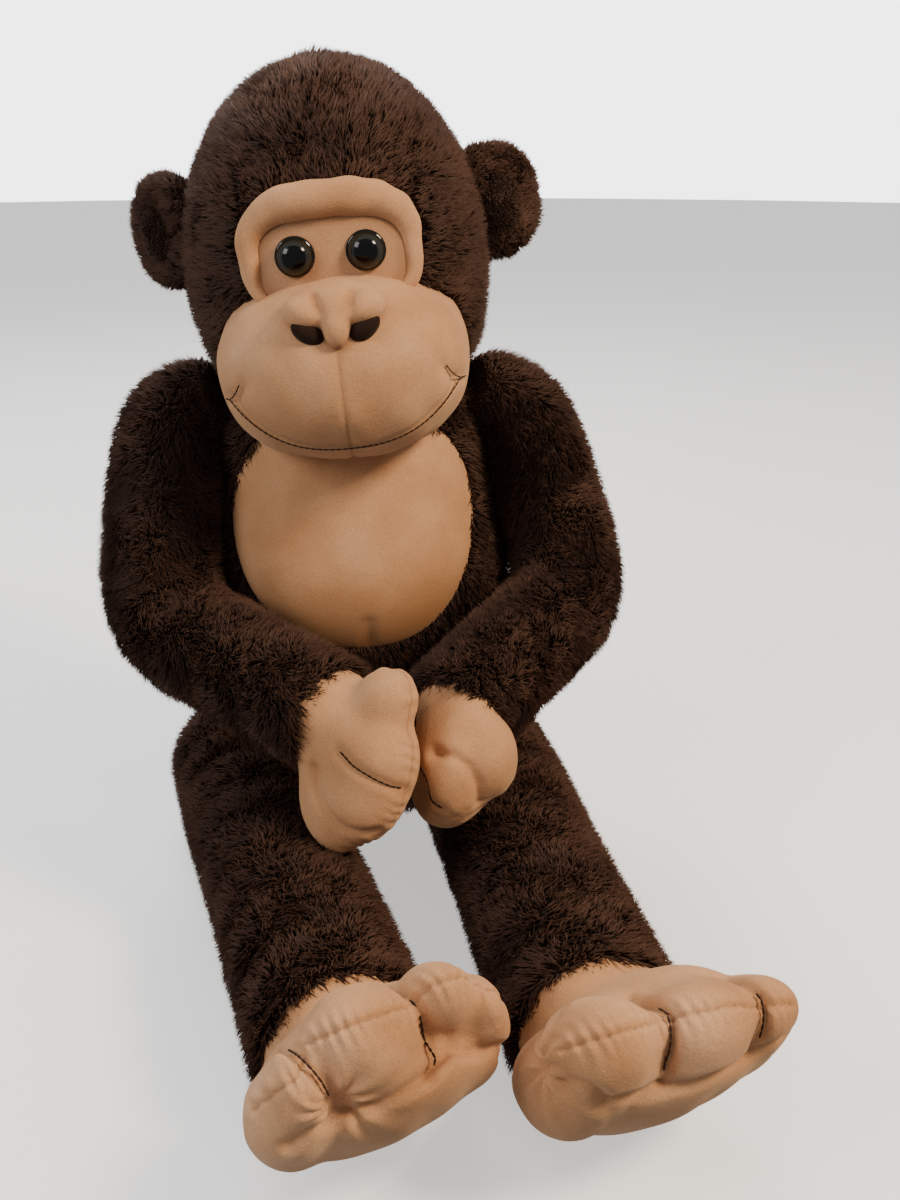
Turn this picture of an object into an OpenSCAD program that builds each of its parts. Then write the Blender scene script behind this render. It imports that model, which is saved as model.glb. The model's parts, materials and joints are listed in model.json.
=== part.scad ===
// A stuffed monkey that sits with its hands in its lap, in millimetres, +Z up, facing -Y.
// The origin is the middle of the flat seat. R is the monkey's own right side, at -X.

/* [Body] */
// Width of the torso at the belly
body_w = 222; // [160:1:300]
// Depth of the torso at the belly
body_d = 222; // [160:1:300]
// Height of the torso from the seat to the neck
body_h = 366; // [280:1:460]
// Width of the belly panel
belly_w = 186; // [120:1:200]
// Height of the belly panel
belly_h = 176; // [120:1:210]

/* [Head] */
// Width of the head without its ears
head_w = 226; // [170:1:290]
// Depth of the head without its muzzle
head_d = 210; // [160:1:270]
// Height of the head
head_h = 254; // [200:1:320]
// Width of the muzzle
muzzle_w = 188; // [140:1:220]
// Height of the muzzle
muzzle_h = 142; // [110:1:160]
// How far the muzzle stands out of the face
muzzle_out = 62; // [40:1:80]
// Width of the nose
nose_w = 62; // [40:1:80]
// Diameter of a safety eye
eye_d = 28; // [18:1:36]
// Distance between the middles of the eyes
eye_gap = 49; // [40:1:64]
// Thickness of the padded brow
brow_t = 20; // [14:1:28]
// How far an ear stands out
ear_out = 46; // [36:1:60]
// Height of an ear
ear_h = 84; // [60:1:100]
// Thickness of an ear
ear_t = 28; // [18:1:36]

/* [Arms] */
// Diameter of an arm
arm_d = 82; // [60:1:96]
// Length from shoulder to elbow
upper_arm_l = 160; // [130:1:200]
// Length from elbow to wrist
forearm_l = 190; // [155:1:235]
// Length from the wrist to the finger tips
hand_l = 84; // [70:1:110]
// Width of a hand across its knuckles
hand_w = 92; // [70:1:110]
// Thickness of a hand
hand_t = 56; // [40:1:66]

/* [Legs] */
// Diameter of a leg at the thigh
thigh_d = 110; // [80:1:130]
// Diameter of a leg at the ankle
ankle_d = 106; // [80:1:126]
// Length from hip to knee
thigh_l = 196; // [150:1:240]
// Length from knee to ankle
shin_l = 172; // [130:1:210]
// Length of a foot from its heel to its toes
foot_l = 158; // [120:1:190]
// Width of a foot across its toes
foot_w = 148; // [110:1:180]
// Thickness of a foot
foot_t = 76; // [56:1:90]

/* [Cloth] */
// Thickness of a cover with its pile
cover_t = 5; // [3:0.5:8]
// Thickness of a sewn-on panel
panel_t = 3; // [2:0.5:5]
// Diameter of the embroidery thread
thread_d = 1.6; // [1:0.1:3]

/* [Hidden] */
// How much smaller the ball of a hand or a foot is than the cuff around it
ball_in = 6;
// Clearance between pieces that lie together, and between pieces that move
seat_play = 0.4;
joint_play = 0.4;
// Points around a body, around a limb and along a fill
body_sides = 24;
limb_sides = 16;
fill_sides = 10;
trim_sides = 5;
hole_sides = 12;
$fn = 16;

// Rows of [share of the height, share of the half width, share of the half depth, shift in half depths]
torso_rows = [
  [0, 0.76, 0.64, 0.15], [0.1, 0.9, 0.82, 0.1], [0.25, 0.98, 0.94, 0.05], [0.45, 1, 1, -0.03],
  [0.62, 0.99, 0.95, -0.03], [0.78, 0.94, 0.8, 0], [0.88, 0.9, 0.67, 0.01], [0.95, 0.8, 0.56, 0.02],
  [1, 0.6, 0.45, 0.03]
];
head_rows = [
  [0, 0.5, 0.5, 0], [0.1, 0.8, 0.78, 0], [0.22, 0.94, 0.92, 0], [0.42, 1, 1, 0],
  [0.62, 0.95, 0.96, 0.02], [0.8, 0.77, 0.79, 0.04], [0.9, 0.57, 0.6, 0.05], [0.96, 0.37, 0.39, 0.05],
  [1, 0.06, 0.06, 0.05]
];
skin_steps = 11;
fill_steps = 6;

// Neck and head
neck_d = 0.4 * body_w;
neck_tip_d = 0.9 * neck_d;
neck_l = 18;
head_x = 5;
head_turn = -5;
head_tilt = -5;
head_sink = 0.09 * head_h;
head_z = body_h + seat_play - head_sink;

// Shoulders, wrists and the elbows that reach between them
arm_r = arm_d / 2;
shoulder_share = 26 / 366;
head_side = 0.98 * head_w;
side_drop = 0.33;
shoulder_drop = shoulder_share * body_h + side_drop * max(0, head_side - body_w);
shoulder_bite = 5;
arm_swell = 1;
shoulder_y = -8;
shoulder_r = arm_r + arm_swell;
shoulder_x = 0.9 * body_w / 2 + shoulder_r - shoulder_bite;
elbow_taper = 4;
elbow_r = arm_r - elbow_taper;
wrist_r = arm_r - ball_in;
cuff_taper = 2;
cuff_r = arm_r - cuff_taper;
hands_meet_x = 29;
lap_gap = 110;
lap_rise_min = 67;
arm_hang = 299;
lap_rise = max(lap_rise_min, body_h - arm_hang);
wrist_y = -body_d / 2 - lap_gap;
wrist_z = thigh_d + lap_rise;
wrist_in_r = 63;
wrist_in_l = 34;
wrist_back_l = 20;
wrist_down_l = 10;
shoulder_z = body_h - shoulder_drop;
shoulder = [[-shoulder_x, shoulder_y, shoulder_z], [shoulder_x, shoulder_y, shoulder_z]];
wrist = [
  [hands_meet_x - wrist_in_r, wrist_y, wrist_z],
  [hands_meet_x + wrist_in_l, wrist_y + wrist_back_l, wrist_z - wrist_down_l]
];
elbow_side = [[-0.62, 0.25, -0.74], [0.62, 0.25, -0.74]];
elbow = [for (i = [0, 1]) two_link(shoulder[i], wrist[i], upper_arm_l, forearm_l, elbow_side[i])];
hand_dir = [unit([0.5, -0.76, -0.38]), unit([-0.18, -0.8, -0.55])];
hand_up = [unit([0.12, 0.4, 0.9]), unit([0.2, 0.45, 0.86])];

// Hips, knees and ankles on two straight legs that lie to the monkey's left
thigh_r = thigh_d / 2;
ankle_r = ankle_d / 2;
hip_taper = 2;
hip_r = thigh_r - hip_taper;
knee_taper = 4;
knee_r = thigh_r - knee_taper;
foot_ball_r = ankle_r - ball_in;
hip_x = thigh_r + 43;
hip_y = -45;
leg_lean = 37;
feet_gap = 0;
leg_l = thigh_l + shin_l;
hip = [[-hip_x, hip_y, thigh_r], [hip_x, hip_y, thigh_r]];
ankle_x = [leg_lean - (foot_w + feet_gap) / 2, leg_lean + (foot_w + feet_gap) / 2];
ankle = [for (i = [0, 1]) leg_end(hip[i], ankle_x[i], ankle_r, leg_l)];
knee = [for (i = [0, 1]) hip[i] + (ankle[i] - hip[i]) * thigh_l / leg_l];
foot_pitch = 44;
foot_yaw = [10, 17];
foot_roll = [-12, -4];

// Joint travel in degrees, with some to spare
turn_play = 1;
open_max = 60;
open_lift = 0.25;
hip_drop = 40;
knee_max = 55;
raise_axis = [-1, 0, 0];
wrist_max = 24;
ankle_max = 12;

// Solid ends of the limbs around the sockets
elbow_room = 22;
knee_room = 26;
cuff_room = 10;

// Eyes
eye_dome = 0.36 * eye_d;
eye_rim = 2;
washer_back = 3;
washer_play = 0.1;
pocket_play = 2;
hole_reach = 40;
shank_d = 7;
shank_l = 21;
washer_d = 20;
washer_t = 3;
eye_level = 0.492 * head_h;

fur = [0.22, 0.13, 0.09];
tan = [0.84, 0.66, 0.5];
dark = [0.13, 0.08, 0.06];
white = [0.93, 0.92, 0.9];
plastic = [0.05, 0.05, 0.05];

// Vectors
function unit(v) = v / norm(v);
function blend(a, b, t) = a + (b - a) * t;
function clamp(t) = max(0, min(1, t));
function ease(t) = clamp(t) * clamp(t) * (3 - 2 * clamp(t));
function bump(x, middle, half) = 1 - ease(abs(x - middle) / half);

// Column c of rows at t, on a smooth curve through the rows
function slope(rows, i, c) =
  let (a = rows[max(0, i - 1)], b = rows[min(len(rows) - 1, i + 1)]) (b[c] - a[c]) / (b[0] - a[0]);
function row_index(rows, t) = max([for (i = [0:len(rows) - 2]) rows[i][0] <= t ? i : 0]);
function curve(rows, t, c) =
  let (
    i = row_index(rows, t), a = rows[i], b = rows[i + 1], h = b[0] - a[0], s = (t - a[0]) / h,
    ma = slope(rows, i, c) * h, mb = slope(rows, i + 1, c) * h
  )
  a[c] * (1 + 2 * s) * pow(1 - s, 2) + ma * s * pow(1 - s, 2)
  + b[c] * s * s * (3 - 2 * s) + mb * s * s * (s - 1);

// Elbow of an arm from a to b with links p and q, bent to the given side
function two_link(a, b, p, q, side) =
  let (
    d = norm(b - a), n = (b - a) / d, along = (d * d + p * p - q * q) / (2 * d),
    out = unit(side - n * (side * n))
  )
  a + n * along + out * sqrt(p * p - along * along);
// End of a straight leg that starts at a and ends at the given x and z
function leg_end(a, x, z, l) = [x, a[1] - sqrt(l * l - pow(x - a[0], 2) - pow(z - a[2], 2)), z];

// A closed skin over rings of points, with a fan over each end
module skin(rings) {
  n = len(rings[0]);
  m = len(rings);
  points = concat([for (ring = rings) each ring], [middle(rings[0]), middle(rings[m - 1])]);
  sides = [
    for (i = [0:m - 2], j = [0:n - 1])
      let (k = (j + 1) % n)
        each [[i * n + j, (i + 1) * n + k, (i + 1) * n + j], [i * n + j, i * n + k, (i + 1) * n + k]]
  ];
  ends = [
    for (j = [0:n - 1])
      let (k = (j + 1) % n) each [[m * n, k, j], [m * n + 1, (m - 1) * n + j, (m - 1) * n + k]]
  ];
  polyhedron(points = points, faces = concat(sides, ends), convexity = 8);
}
function middle(ring) = [for (c = [0:2]) [for (p = ring) p[c]] * [for (p = ring) 1 / len(ring)]];

// Cuts on soft forms are made on their facets
module soft() resize([0, 0, 0]) children();

// Stacked forms: the torso and the head
function stack_half_w(rows, size, inset, t) = max(1, curve(rows, t, 1) * size[0] / 2 - inset);
function stack_half_d(rows, size, inset, t) = max(1, curve(rows, t, 2) * size[1] / 2 - inset);
function stack_mid_y(rows, size, t) = curve(rows, t, 3) * size[1] / 2;
function stack_ring(rows, size, inset, t, z, n) = [
  for (j = [0:n - 1])
    let (a = -360 * j / n)
      [
        stack_half_w(rows, size, inset, t) * cos(a),
        stack_mid_y(rows, size, t) + stack_half_d(rows, size, inset, t) * sin(a), z
      ]
];
// The rings lie closer together toward the top
ring_crowd = 1.4;
module stack(rows, size, inset, from, to, steps, n)
  skin([
    for (i = [0:steps])
      let (t = blend(from, to, 1 - pow(1 - i / steps, ring_crowd)))
        stack_ring(rows, size, inset, t, t * size[2], n)
  ]);
// Front of a stacked form at x and z, lifted by out
function front_y(rows, size, x, z, out) =
  let (t = clamp(z / size[2]), w = stack_half_w(rows, size, -out, t), d = stack_half_d(rows, size, -out, t))
  stack_mid_y(rows, size, t) - d * sqrt(max(0, 1 - pow(x / w, 2)));

// A thin patch on a front, inside an outline of radii around its middle
patch_rings = 3;
patch_spokes = 20;
module front_patch(rows, size, mid, radii, square, lift, thick)
  skin(concat(
    [for (i = [1:patch_rings]) patch_ring(rows, size, mid, radii, square, i / patch_rings, lift)],
    [for (i = [patch_rings:-1:1]) patch_ring(rows, size, mid, radii, square, i / patch_rings, lift + thick)]
  ));
function patch_ring(rows, size, mid, radii, square, share, out) = [
  for (j = [0:patch_spokes - 1])
    let (
      a = -360 * j / patch_spokes, x = mid[0] + share * radii[0] * power(cos(a), square),
      z = mid[1] + share * radii[1] * power(sin(a), square)
    )
      [x, front_y(rows, size, x, z, out), z]
];

// An egg-shaped form with half sizes r, squarer as its power falls
function power(v, e) = sign(v) * pow(abs(v), e);
egg_square = 0.9;
module egg(r, rings, n, e = egg_square)
  skin([
    for (i = [1:rings - 1])
      let (v = -90 + 180 * i / rings)
        [
          for (j = [0:n - 1])
            let (a = -360 * j / n)
              [
                r[0] * power(cos(v), e) * power(cos(a), e), r[1] * power(cos(v), e) * power(sin(a), e),
                r[2] * power(sin(v), e)
              ]
        ]
  ]);

// Rings on the ball and along the rest of a limb, and rings along its filling
ball_angles = [75, 48, 22];
limb_steps = 6;
limb_fill_steps = 3;
// How far a filling reaches back into the ball, and how blunt and how wide its ends are
fill_back = 0.6;
fill_blunt = 6;
fill_end = 0.2;
// Limb forms stand on +Z from a ball at their first joint to their second joint
function limb_radius(z, l, ball, rows) =
  z < 0 ? sqrt(max(1, ball * ball - z * z))
  : blend(ball, curve(rows, clamp(z / l), 1), ease(2 * z / ball));
function limb_stations(l, ball) = concat(
  [for (a = ball_angles) -ball * sin(a)], [for (i = [0:limb_steps]) l * i / limb_steps]
);
module limb(l, ball, rows)
  skin([
    for (z = limb_stations(l, ball))
      [
        for (j = [0:limb_sides - 1])
          let (a = -360 * j / limb_sides, r = limb_radius(z, l, ball, rows)) [r * cos(a), r * sin(a), z]
      ]
  ]);
module limb_fill(l, ball, rows, from, to, inset)
  skin([
    for (i = [0:limb_fill_steps])
      let (s = i / limb_fill_steps, z = blend(from, to, s), r = limb_radius(z, l, ball, rows) - inset)
        [
          for (j = [0:fill_sides - 1])
            let (a = -360 * j / fill_sides, k = sqrt(max(fill_end, 1 - pow(2 * s - 1, fill_blunt))))
              [k * r * cos(a), k * r * sin(a), z]
        ]
  ]);
// Stands children on the line from a to b
module along(a, b) {
  d = unit(b - a);
  translate(a) rotate([0, acos(d[2]), atan2(d[1], d[0])]) children();
}
// Room around a limb of radius r from a to b, and around a ball of radius r
function room_r(r) = (r + joint_play) / pow(cos(180 / $fn), 2);
module tube(a, b, r) along(a, b) cylinder(h = norm(b - a), r = room_r(r));
module socket(at, r) translate(at) sphere(room_r(r));
// The opening that a filling goes in by, from inside it at a to the outside at b
fill_hole_d = 10;
fill_hole_sides = 6;
module fill_hole(a, b) along(a, b) cylinder(h = norm(b - a), d = fill_hole_d, $fn = fill_hole_sides);
// Turns children about a line through a point
module swing(at, axis, angle) translate(at) rotate(angle, axis) translate(-at) children();

// A thread along points, a little proud of what it is sewn into
module thread(points) {
  last = len(points) - 1;
  skin([
    for (i = [0:last])
      let (
        t = unit(points[min(last, i + 1)] - points[max(0, i - 1)]),
        u = unit(cross(t, abs(t[1]) < 0.8 ? [0, 1, 0] : [1, 0, 0])), v = cross(t, u)
      )
        [
          for (j = [0:trim_sides - 1])
            let (a = -360 * j / trim_sides) points[i] + (u * cos(a) + v * sin(a)) * thread_d / 2
        ]
  ]);
}

// Torso
torso_size = [body_w, body_d, body_h];
// The seat is cut this share of the height above the lowest ring
seat_share = 0.002;
module torso_form(inset, from, to, steps, n) stack(torso_rows, torso_size, inset, from, to, steps, n);
// The filling lies between the legs and the shoulders
fill_from = 0.345;
fill_to = 0.82;
module torso_fill_form(inset) {
  difference() {
    torso_form(inset, fill_from, fill_to, fill_steps, body_sides);
    for (i = [0, 1]) {
      translate(hip[i]) sphere(hip_r + inset);
      translate(shoulder[i]) sphere(shoulder_r + inset);
    }
  }
}
module torso_cover() color(fur) difference() {
  soft() difference() {
    union() {
      torso_form(0, -seat_share, 1, skin_steps, body_sides);
      translate([0, 0, body_h - neck_l]) cylinder(h = 2 * neck_l, d1 = neck_d, d2 = neck_tip_d);
    }
    for (i = [0, 1]) {
      socket(shoulder[i], shoulder_r);
      tube(shoulder[i], elbow[i], arm_r + arm_swell);
      socket(hip[i], hip_r);
      hull() for (a = [-hip_drop - turn_play, turn_play]) swing(hip[i], raise_axis, a)
        tube(hip[i], knee[i], thigh_r);
    }
    torso_fill_form(2 * cover_t - seat_play);
    fill_hole([0, 0, body_h / 2], [0, 0, body_h + 2 * neck_l]);
  }
  floor_cut();
}
module torso_fill() color(white) soft() torso_fill_form(2 * cover_t);
belly_square = 0.9;
belly_r = [belly_w / 2, belly_h / 2];
belly_mid = 0.725 * body_h;
module belly_panel() color(tan) soft() difference() {
  front_patch(torso_rows, torso_size, [0, belly_mid], belly_r, belly_square, seat_play, panel_t);
  torso_form(-seat_play, 0, 1, skin_steps, body_sides);
  for (i = [0, 1]) tube(shoulder[i], elbow[i], arm_r + arm_swell);
  translate([0, 0, 2 * body_h - shoulder_drop]) cube(2 * body_h, center = true);
}

// Head, built upright with its own middle line on Z and its base at zero
head_size = [head_w, head_d, head_h];
module head_place() translate([head_x, 0, head_z]) rotate([0, 0, head_turn]) rotate([0, head_tilt, 0])
  children();
// What the torso and its neck need below and inside the head
module neck_room() {
  translate([0, 0, seat_play]) cylinder(h = body_h, r = body_w);
  translate([0, 0, body_h]) cylinder(h = neck_l + seat_play + joint_play, r = room_r(neck_d / 2));
}
module head_form(inset, from, to, steps, n) stack(head_rows, head_size, inset, from, to, steps, n);
module head_fill_form(inset) head_form(inset, 0.2, 0.94, fill_steps, body_sides);
module head_cover() color(fur) soft() difference() {
  head_place() difference() {
    head_form(0, 0, 1, skin_steps, body_sides);
    head_fill_form(cover_t - seat_play);
    for (i = [-1, 1]) eye_hole(i);
  }
  neck_room();
}
module head_fill() color(white) soft() difference() {
  head_place() difference() {
    head_fill_form(cover_t);
    for (i = [-1, 1]) eye_pocket(i);
  }
  translate([0, 0, cover_t]) neck_room();
}
function face_y(x, z, out) = front_y(head_rows, head_size, x, z, out);

// Muzzle on the lower half of the face
muzzle_rings = 10;
muzzle_r = [muzzle_w / 2, muzzle_out + 0.2 * head_d, muzzle_h / 2];
muzzle_at = [0, -0.3 * head_d, 0.175 * head_h];
module muzzle_form(inset) translate(muzzle_at)
  egg(muzzle_r - [inset, inset, inset], muzzle_rings, body_sides);
// Front of the muzzle at x and z
function muzzle_y(x, z, out) =
  let (
    r = muzzle_r + [out, out, out], e = 2 / egg_square, u = pow(abs(x - muzzle_at[0]) / r[0], e),
    v = pow(abs(z - muzzle_at[2]) / r[2], e)
  )
  muzzle_at[1] - r[1] * pow(max(0, 1 - u - v), 1 / e);
// Room for the chest under the chin
chest_r = 0.93 * body_w / 2;
module chest_room() cylinder(h = body_h, r = chest_r);
module muzzle_cover() color(tan) soft() difference() {
  head_place() difference() {
    muzzle_form(0);
    head_form(-seat_play, 0, 1, skin_steps, body_sides);
    muzzle_fill_form(cover_t - seat_play);
    fill_hole(muzzle_fill_at, muzzle_at);
  }
  chest_room();
}
muzzle_fill_r = [0.36 * muzzle_w, 0.42 * muzzle_out, 0.34 * muzzle_h];
muzzle_fill_at = [0, face_y(0, muzzle_at[2], 0) - muzzle_out / 2, muzzle_at[2] + 0.06 * muzzle_h];
module muzzle_fill_form(inset) translate(muzzle_fill_at)
  egg(muzzle_fill_r - [inset, inset, inset], fill_steps, body_sides);
module muzzle_fill() color(white) soft() head_place() muzzle_fill_form(cover_t);

// Face panel and brow
panel_mid = [0, 0.468 * head_h];
panel_r = [eye_gap, 0.112 * head_h];
brow_steps = 12;
brow_sides = 8;
brow_from = 198;
brow_to = -18;
brow_thin = 0.36;
brow_wide = 1.1;
brow_square = 0.72;
brow_gap = 1;
module eye_panel() color(tan) soft() head_place() difference() {
  front_patch(head_rows, head_size, panel_mid, panel_r, brow_square, seat_play, panel_t);
  head_form(-seat_play, 0, 1, skin_steps, body_sides);
  muzzle_form(-seat_play);
  for (i = [-1, 1]) {
    eye_hole(i);
    eye_seat(i);
  }
}
function brow_radius(s) = brow_t / 2 * blend(brow_thin, 1, sin(180 * s));
function brow_point(s) =
  let (
    a = blend(brow_from, brow_to, s), out = brow_wide * brow_radius(s) + brow_gap,
    x = (panel_r[0] + out) * power(cos(a), brow_square),
    z = panel_mid[1] + (panel_r[1] + out) * power(sin(a), brow_square)
  )
  [x, face_y(x, z, 0), z];
module brow_roll() color(tan) soft() head_place() difference() {
  skin([
    for (i = [0:brow_steps])
      let (
        s = i / brow_steps, p = brow_point(s), t = unit(brow_point(s + 0.01) - brow_point(s - 0.01)),
        u = unit(cross(t, [0, -1, 0])), r = brow_radius(s)
      )
        [
          for (j = [0:brow_sides - 1])
            let (a = 360 * j / brow_sides) p + u * r * brow_wide * cos(a) + [0, -r * sin(a), 0]
        ]
  ]);
  head_form(-seat_play, 0, 1, skin_steps, body_sides);
}

// Safety eyes, with the shank through the panel and a washer behind the cover
module eye_axis(side) {
  x = side * eye_gap / 2;
  translate([x, face_y(x, eye_level, 0) - panel_t - 2 * seat_play, eye_level]) rotate([90, 0, 0]) children();
}
module eye_hole(side) eye_axis(side)
  cylinder(h = 2 * hole_reach, d = shank_d + 2 * seat_play, center = true, $fn = hole_sides);
// Where the rim of an eye presses into the panel
module eye_seat(side) eye_axis(side) translate([0, 0, -seat_play])
  cylinder(h = eye_d, d = eye_d + 4 * seat_play);
// Room in the filling for a washer and the end of its shank
module eye_pocket(side) eye_axis(side) translate([0, 0, -shank_l - pocket_play])
  cylinder(h = hole_reach, d = washer_d + 2 * pocket_play, $fn = hole_sides);
module eye(side) head_place() eye_axis(side) {
  rotate_extrude() polygon(concat(
    [[0, -shank_l], [shank_d / 2, -shank_l], [shank_d / 2, 0], [eye_d / 2, 0], [eye_d / 2, eye_rim]],
    [for (a = [10:10:80]) [eye_d / 2 * cos(a), eye_rim + eye_dome * sin(a)]],
    [[0, eye_rim + eye_dome]]
  ));
}
module eye_right() color(plastic) eye(-1);
module eye_left() color(plastic) eye(1);
module eye_washers() color(white) head_place() for (side = [-1, 1]) eye_axis(side)
  translate([0, 0, -shank_l + washer_back]) difference() {
    cylinder(h = washer_t, d = washer_d);
    cylinder(h = 4 * washer_t, d = shank_d + 2 * washer_play, center = true);
  }

// Nose on the muzzle, with two nostril inserts below its wings
nose_z = 0.345 * head_h;
nose_h = 0.54 * nose_w;
nostril_at = [0.3 * nose_w, nose_z - 0.24 * nose_h];
nostril_r = 0.17 * nose_w;
nostril_lift = 8;
nostril_deep = 5;
nose_bulge = 12;
function muzzle_ring(mid, radii, share, out) = [
  for (j = [0:patch_spokes - 1])
    let (
      a = -360 * j / patch_spokes, x = mid[0] + share * radii[0] * cos(a),
      z = mid[1] + share * radii[1] * sin(a)
    )
      [x, muzzle_y(x, z, out), z]
];
module muzzle_patch(mid, radii, lift, thick, crown)
  skin(concat(
    [for (i = [1:patch_rings]) muzzle_ring(mid, radii, i / patch_rings, lift)],
    [
      for (i = [patch_rings:-1:1])
        let (s = i / patch_rings) muzzle_ring(mid, radii, s, lift + thick + crown * sqrt(max(0, 1 - s * s)))
    ]
  ));
module nose() color(tan) soft() head_place() difference() {
  muzzle_patch([0, nose_z], [nose_w / 2, nose_h / 2], seat_play, panel_t, nose_bulge);
  for (i = [-1, 1]) nostril(i, seat_play);
}
module nostril(side, grow) {
  x = side * nostril_at[0];
  translate([x, muzzle_y(x, nostril_at[1], nostril_lift), nostril_at[1]])
    egg([nostril_r + grow, nostril_deep + grow, 0.75 * nostril_r + grow], fill_steps, fill_sides);
}
module nostrils() color(dark) soft() head_place() difference() {
  for (i = [-1, 1]) nostril(i, 0);
  muzzle_form(-seat_play);
}

// Mouth line around the lower muzzle
mouth_steps = 20;
mouth_half = 0.43 * muzzle_w;
mouth_low = 0.016 * head_h;
mouth_rise = 0.146 * head_h;
mouth_curl = 2.6;
function mouth_z(u) = mouth_rise * pow(abs(u), mouth_curl) - mouth_low;
function mouth_point(u) =
  let (x = mouth_half * u, z = mouth_z(u)) [x, muzzle_y(x, z, thread_d / 4), z];
module mouth_stitch() color(dark) soft() head_place() difference() {
  thread([for (i = [0:mouth_steps]) mouth_point(2 * i / mouth_steps - 1)]);
  muzzle_form(-sew_in);
}

// Ears, each with a lining let into its front
ear_r = 36;
ear_y = 6;
ear_turn = 18;
ear_square = 0.85;
ear_rings = 8;
ear_at = [head_w / 2 + ear_out - ear_r, ear_y, 0.56 * head_h];
ear_size = [ear_r, ear_t / 2, ear_h / 2];
lining_shift = [3, -ear_t / 2, -2];
lining_size = [20, 5, ear_h / 2 - 15];
module ear_place(side) translate([side * ear_at[0], ear_at[1], ear_at[2]]) children();
module ear_form(side, grow) ear_place(side) rotate([0, 0, side * ear_turn])
  egg(ear_size + [grow, grow, grow], ear_rings, limb_sides, ear_square);
module lining_form(side, grow) ear_place(side)
  translate([side * lining_shift[0], lining_shift[1], lining_shift[2]]) rotate([0, 0, side * ear_turn])
    egg(lining_size + [grow, grow, grow], fill_steps, fill_sides);
module ear(side) soft() head_place() difference() {
  ear_form(side, 0);
  head_form(-seat_play, 0, 1, skin_steps, body_sides);
  lining_form(side, seat_play);
}
module lining(side) soft() head_place() difference() {
  lining_form(side, 0);
  head_form(-seat_play, 0, 1, skin_steps, body_sides);
}
module ear_right() color(fur) ear(-1);
module ear_left() color(fur) ear(1);
module ear_lining_right() color(dark) lining(-1);
module ear_lining_left() color(dark) lining(1);

// Arms
arm_rows = [[0, arm_r], [0.4, arm_r + arm_swell], [1, arm_r]];
forearm_rows = [[0, cuff_r], [0.35, arm_r], [0.8, arm_r - arm_swell], [1, cuff_r]];
open_axis = [unit([-open_lift, 0, -1]), unit([-open_lift, 0, 1])];
module upper_arm_form(i) along(shoulder[i], elbow[i]) limb(upper_arm_l, shoulder_r, arm_rows);
module forearm_form(i) along(elbow[i], wrist[i]) limb(forearm_l, elbow_r, forearm_rows);
module upper_arm_fill_form(i, inset) along(shoulder[i], elbow[i])
  limb_fill(
    upper_arm_l, shoulder_r, arm_rows, -fill_back * shoulder_r, upper_arm_l - elbow_r - elbow_room, inset
  );
module forearm_fill_form(i, inset) along(elbow[i], wrist[i])
  limb_fill(forearm_l, elbow_r, forearm_rows, -fill_back * elbow_r, forearm_l - wrist_r - cuff_room, inset);
module upper_arm(i) color(fur) soft() difference() {
  upper_arm_form(i);
  upper_arm_fill_form(i, cover_t - seat_play);
  fill_hole((shoulder[i] + elbow[i]) / 2, elbow[i]);
  socket(elbow[i], elbow_r);
  hull() for (a = [0, open_max + turn_play]) swing(elbow[i], open_axis[i], a)
    tube(elbow[i], wrist[i], arm_r);
}
module forearm(i) color(fur) soft() difference() {
  forearm_form(i);
  forearm_fill_form(i, cover_t - seat_play);
  fill_hole((elbow[i] + wrist[i]) / 2, wrist[i]);
  socket(wrist[i], wrist_r);
}
module upper_arm_right() upper_arm(0);
module upper_arm_left() upper_arm(1);
module upper_arm_fill_right() color(white) soft() upper_arm_fill_form(0, cover_t);
module upper_arm_fill_left() color(white) soft() upper_arm_fill_form(1, cover_t);
module forearm_right() forearm(0);
module forearm_left() forearm(1);
module forearm_fill_right() color(white) soft() forearm_fill_form(0, cover_t);
module forearm_fill_left() color(white) soft() forearm_fill_form(1, cover_t);

// Hands: a ball in the cuff, then a mitten along +Z with its knuckles across Y and its thumb on one side
hand_rows = [[0, 0.74, 1], [0.25, 0.9, 1], [0.55, 1, 0.96], [0.85, 0.86, 0.76], [1, 0.36, 0.3]];
hand_rings = 7;
function hand_frame(i) =
  let (z = hand_dir[i], y = unit(hand_up[i] - z * (hand_up[i] * z)), x = cross(y, z), o = wrist[i])
  [[x[0], y[0], z[0], o[0]], [x[1], y[1], z[1], o[1]], [x[2], y[2], z[2], o[2]], [0, 0, 0, 1]];
module hand_place(i) multmatrix(hand_frame(i)) children();
function oval(a, b, z, n) = [for (j = [0:n - 1]) let (v = -360 * j / n) [a * cos(v), b * sin(v), z]];
function hand_x(t) = curve(hand_rows, t, 2) * hand_t / 2;
function hand_y(t) = curve(hand_rows, t, 1) * hand_w / 2;
module mitten_form(inset)
  skin([
    for (k = [0:hand_rings])
      let (t = k / hand_rings, z = t * (hand_l - 2 * inset) + inset)
        oval(hand_x(t) - inset, hand_y(t) - inset, z, limb_sides)
  ]);
thumb_side = [-1, 1];
thumb_turn = 26;
module thumb_form(side) translate([0, side * 0.4 * hand_w, 0.5 * hand_l]) rotate([-side * thumb_turn, 0, 0])
  egg([0.34 * hand_t, 0.22 * hand_w, 0.42 * hand_l], fill_steps, fill_sides);
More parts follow.
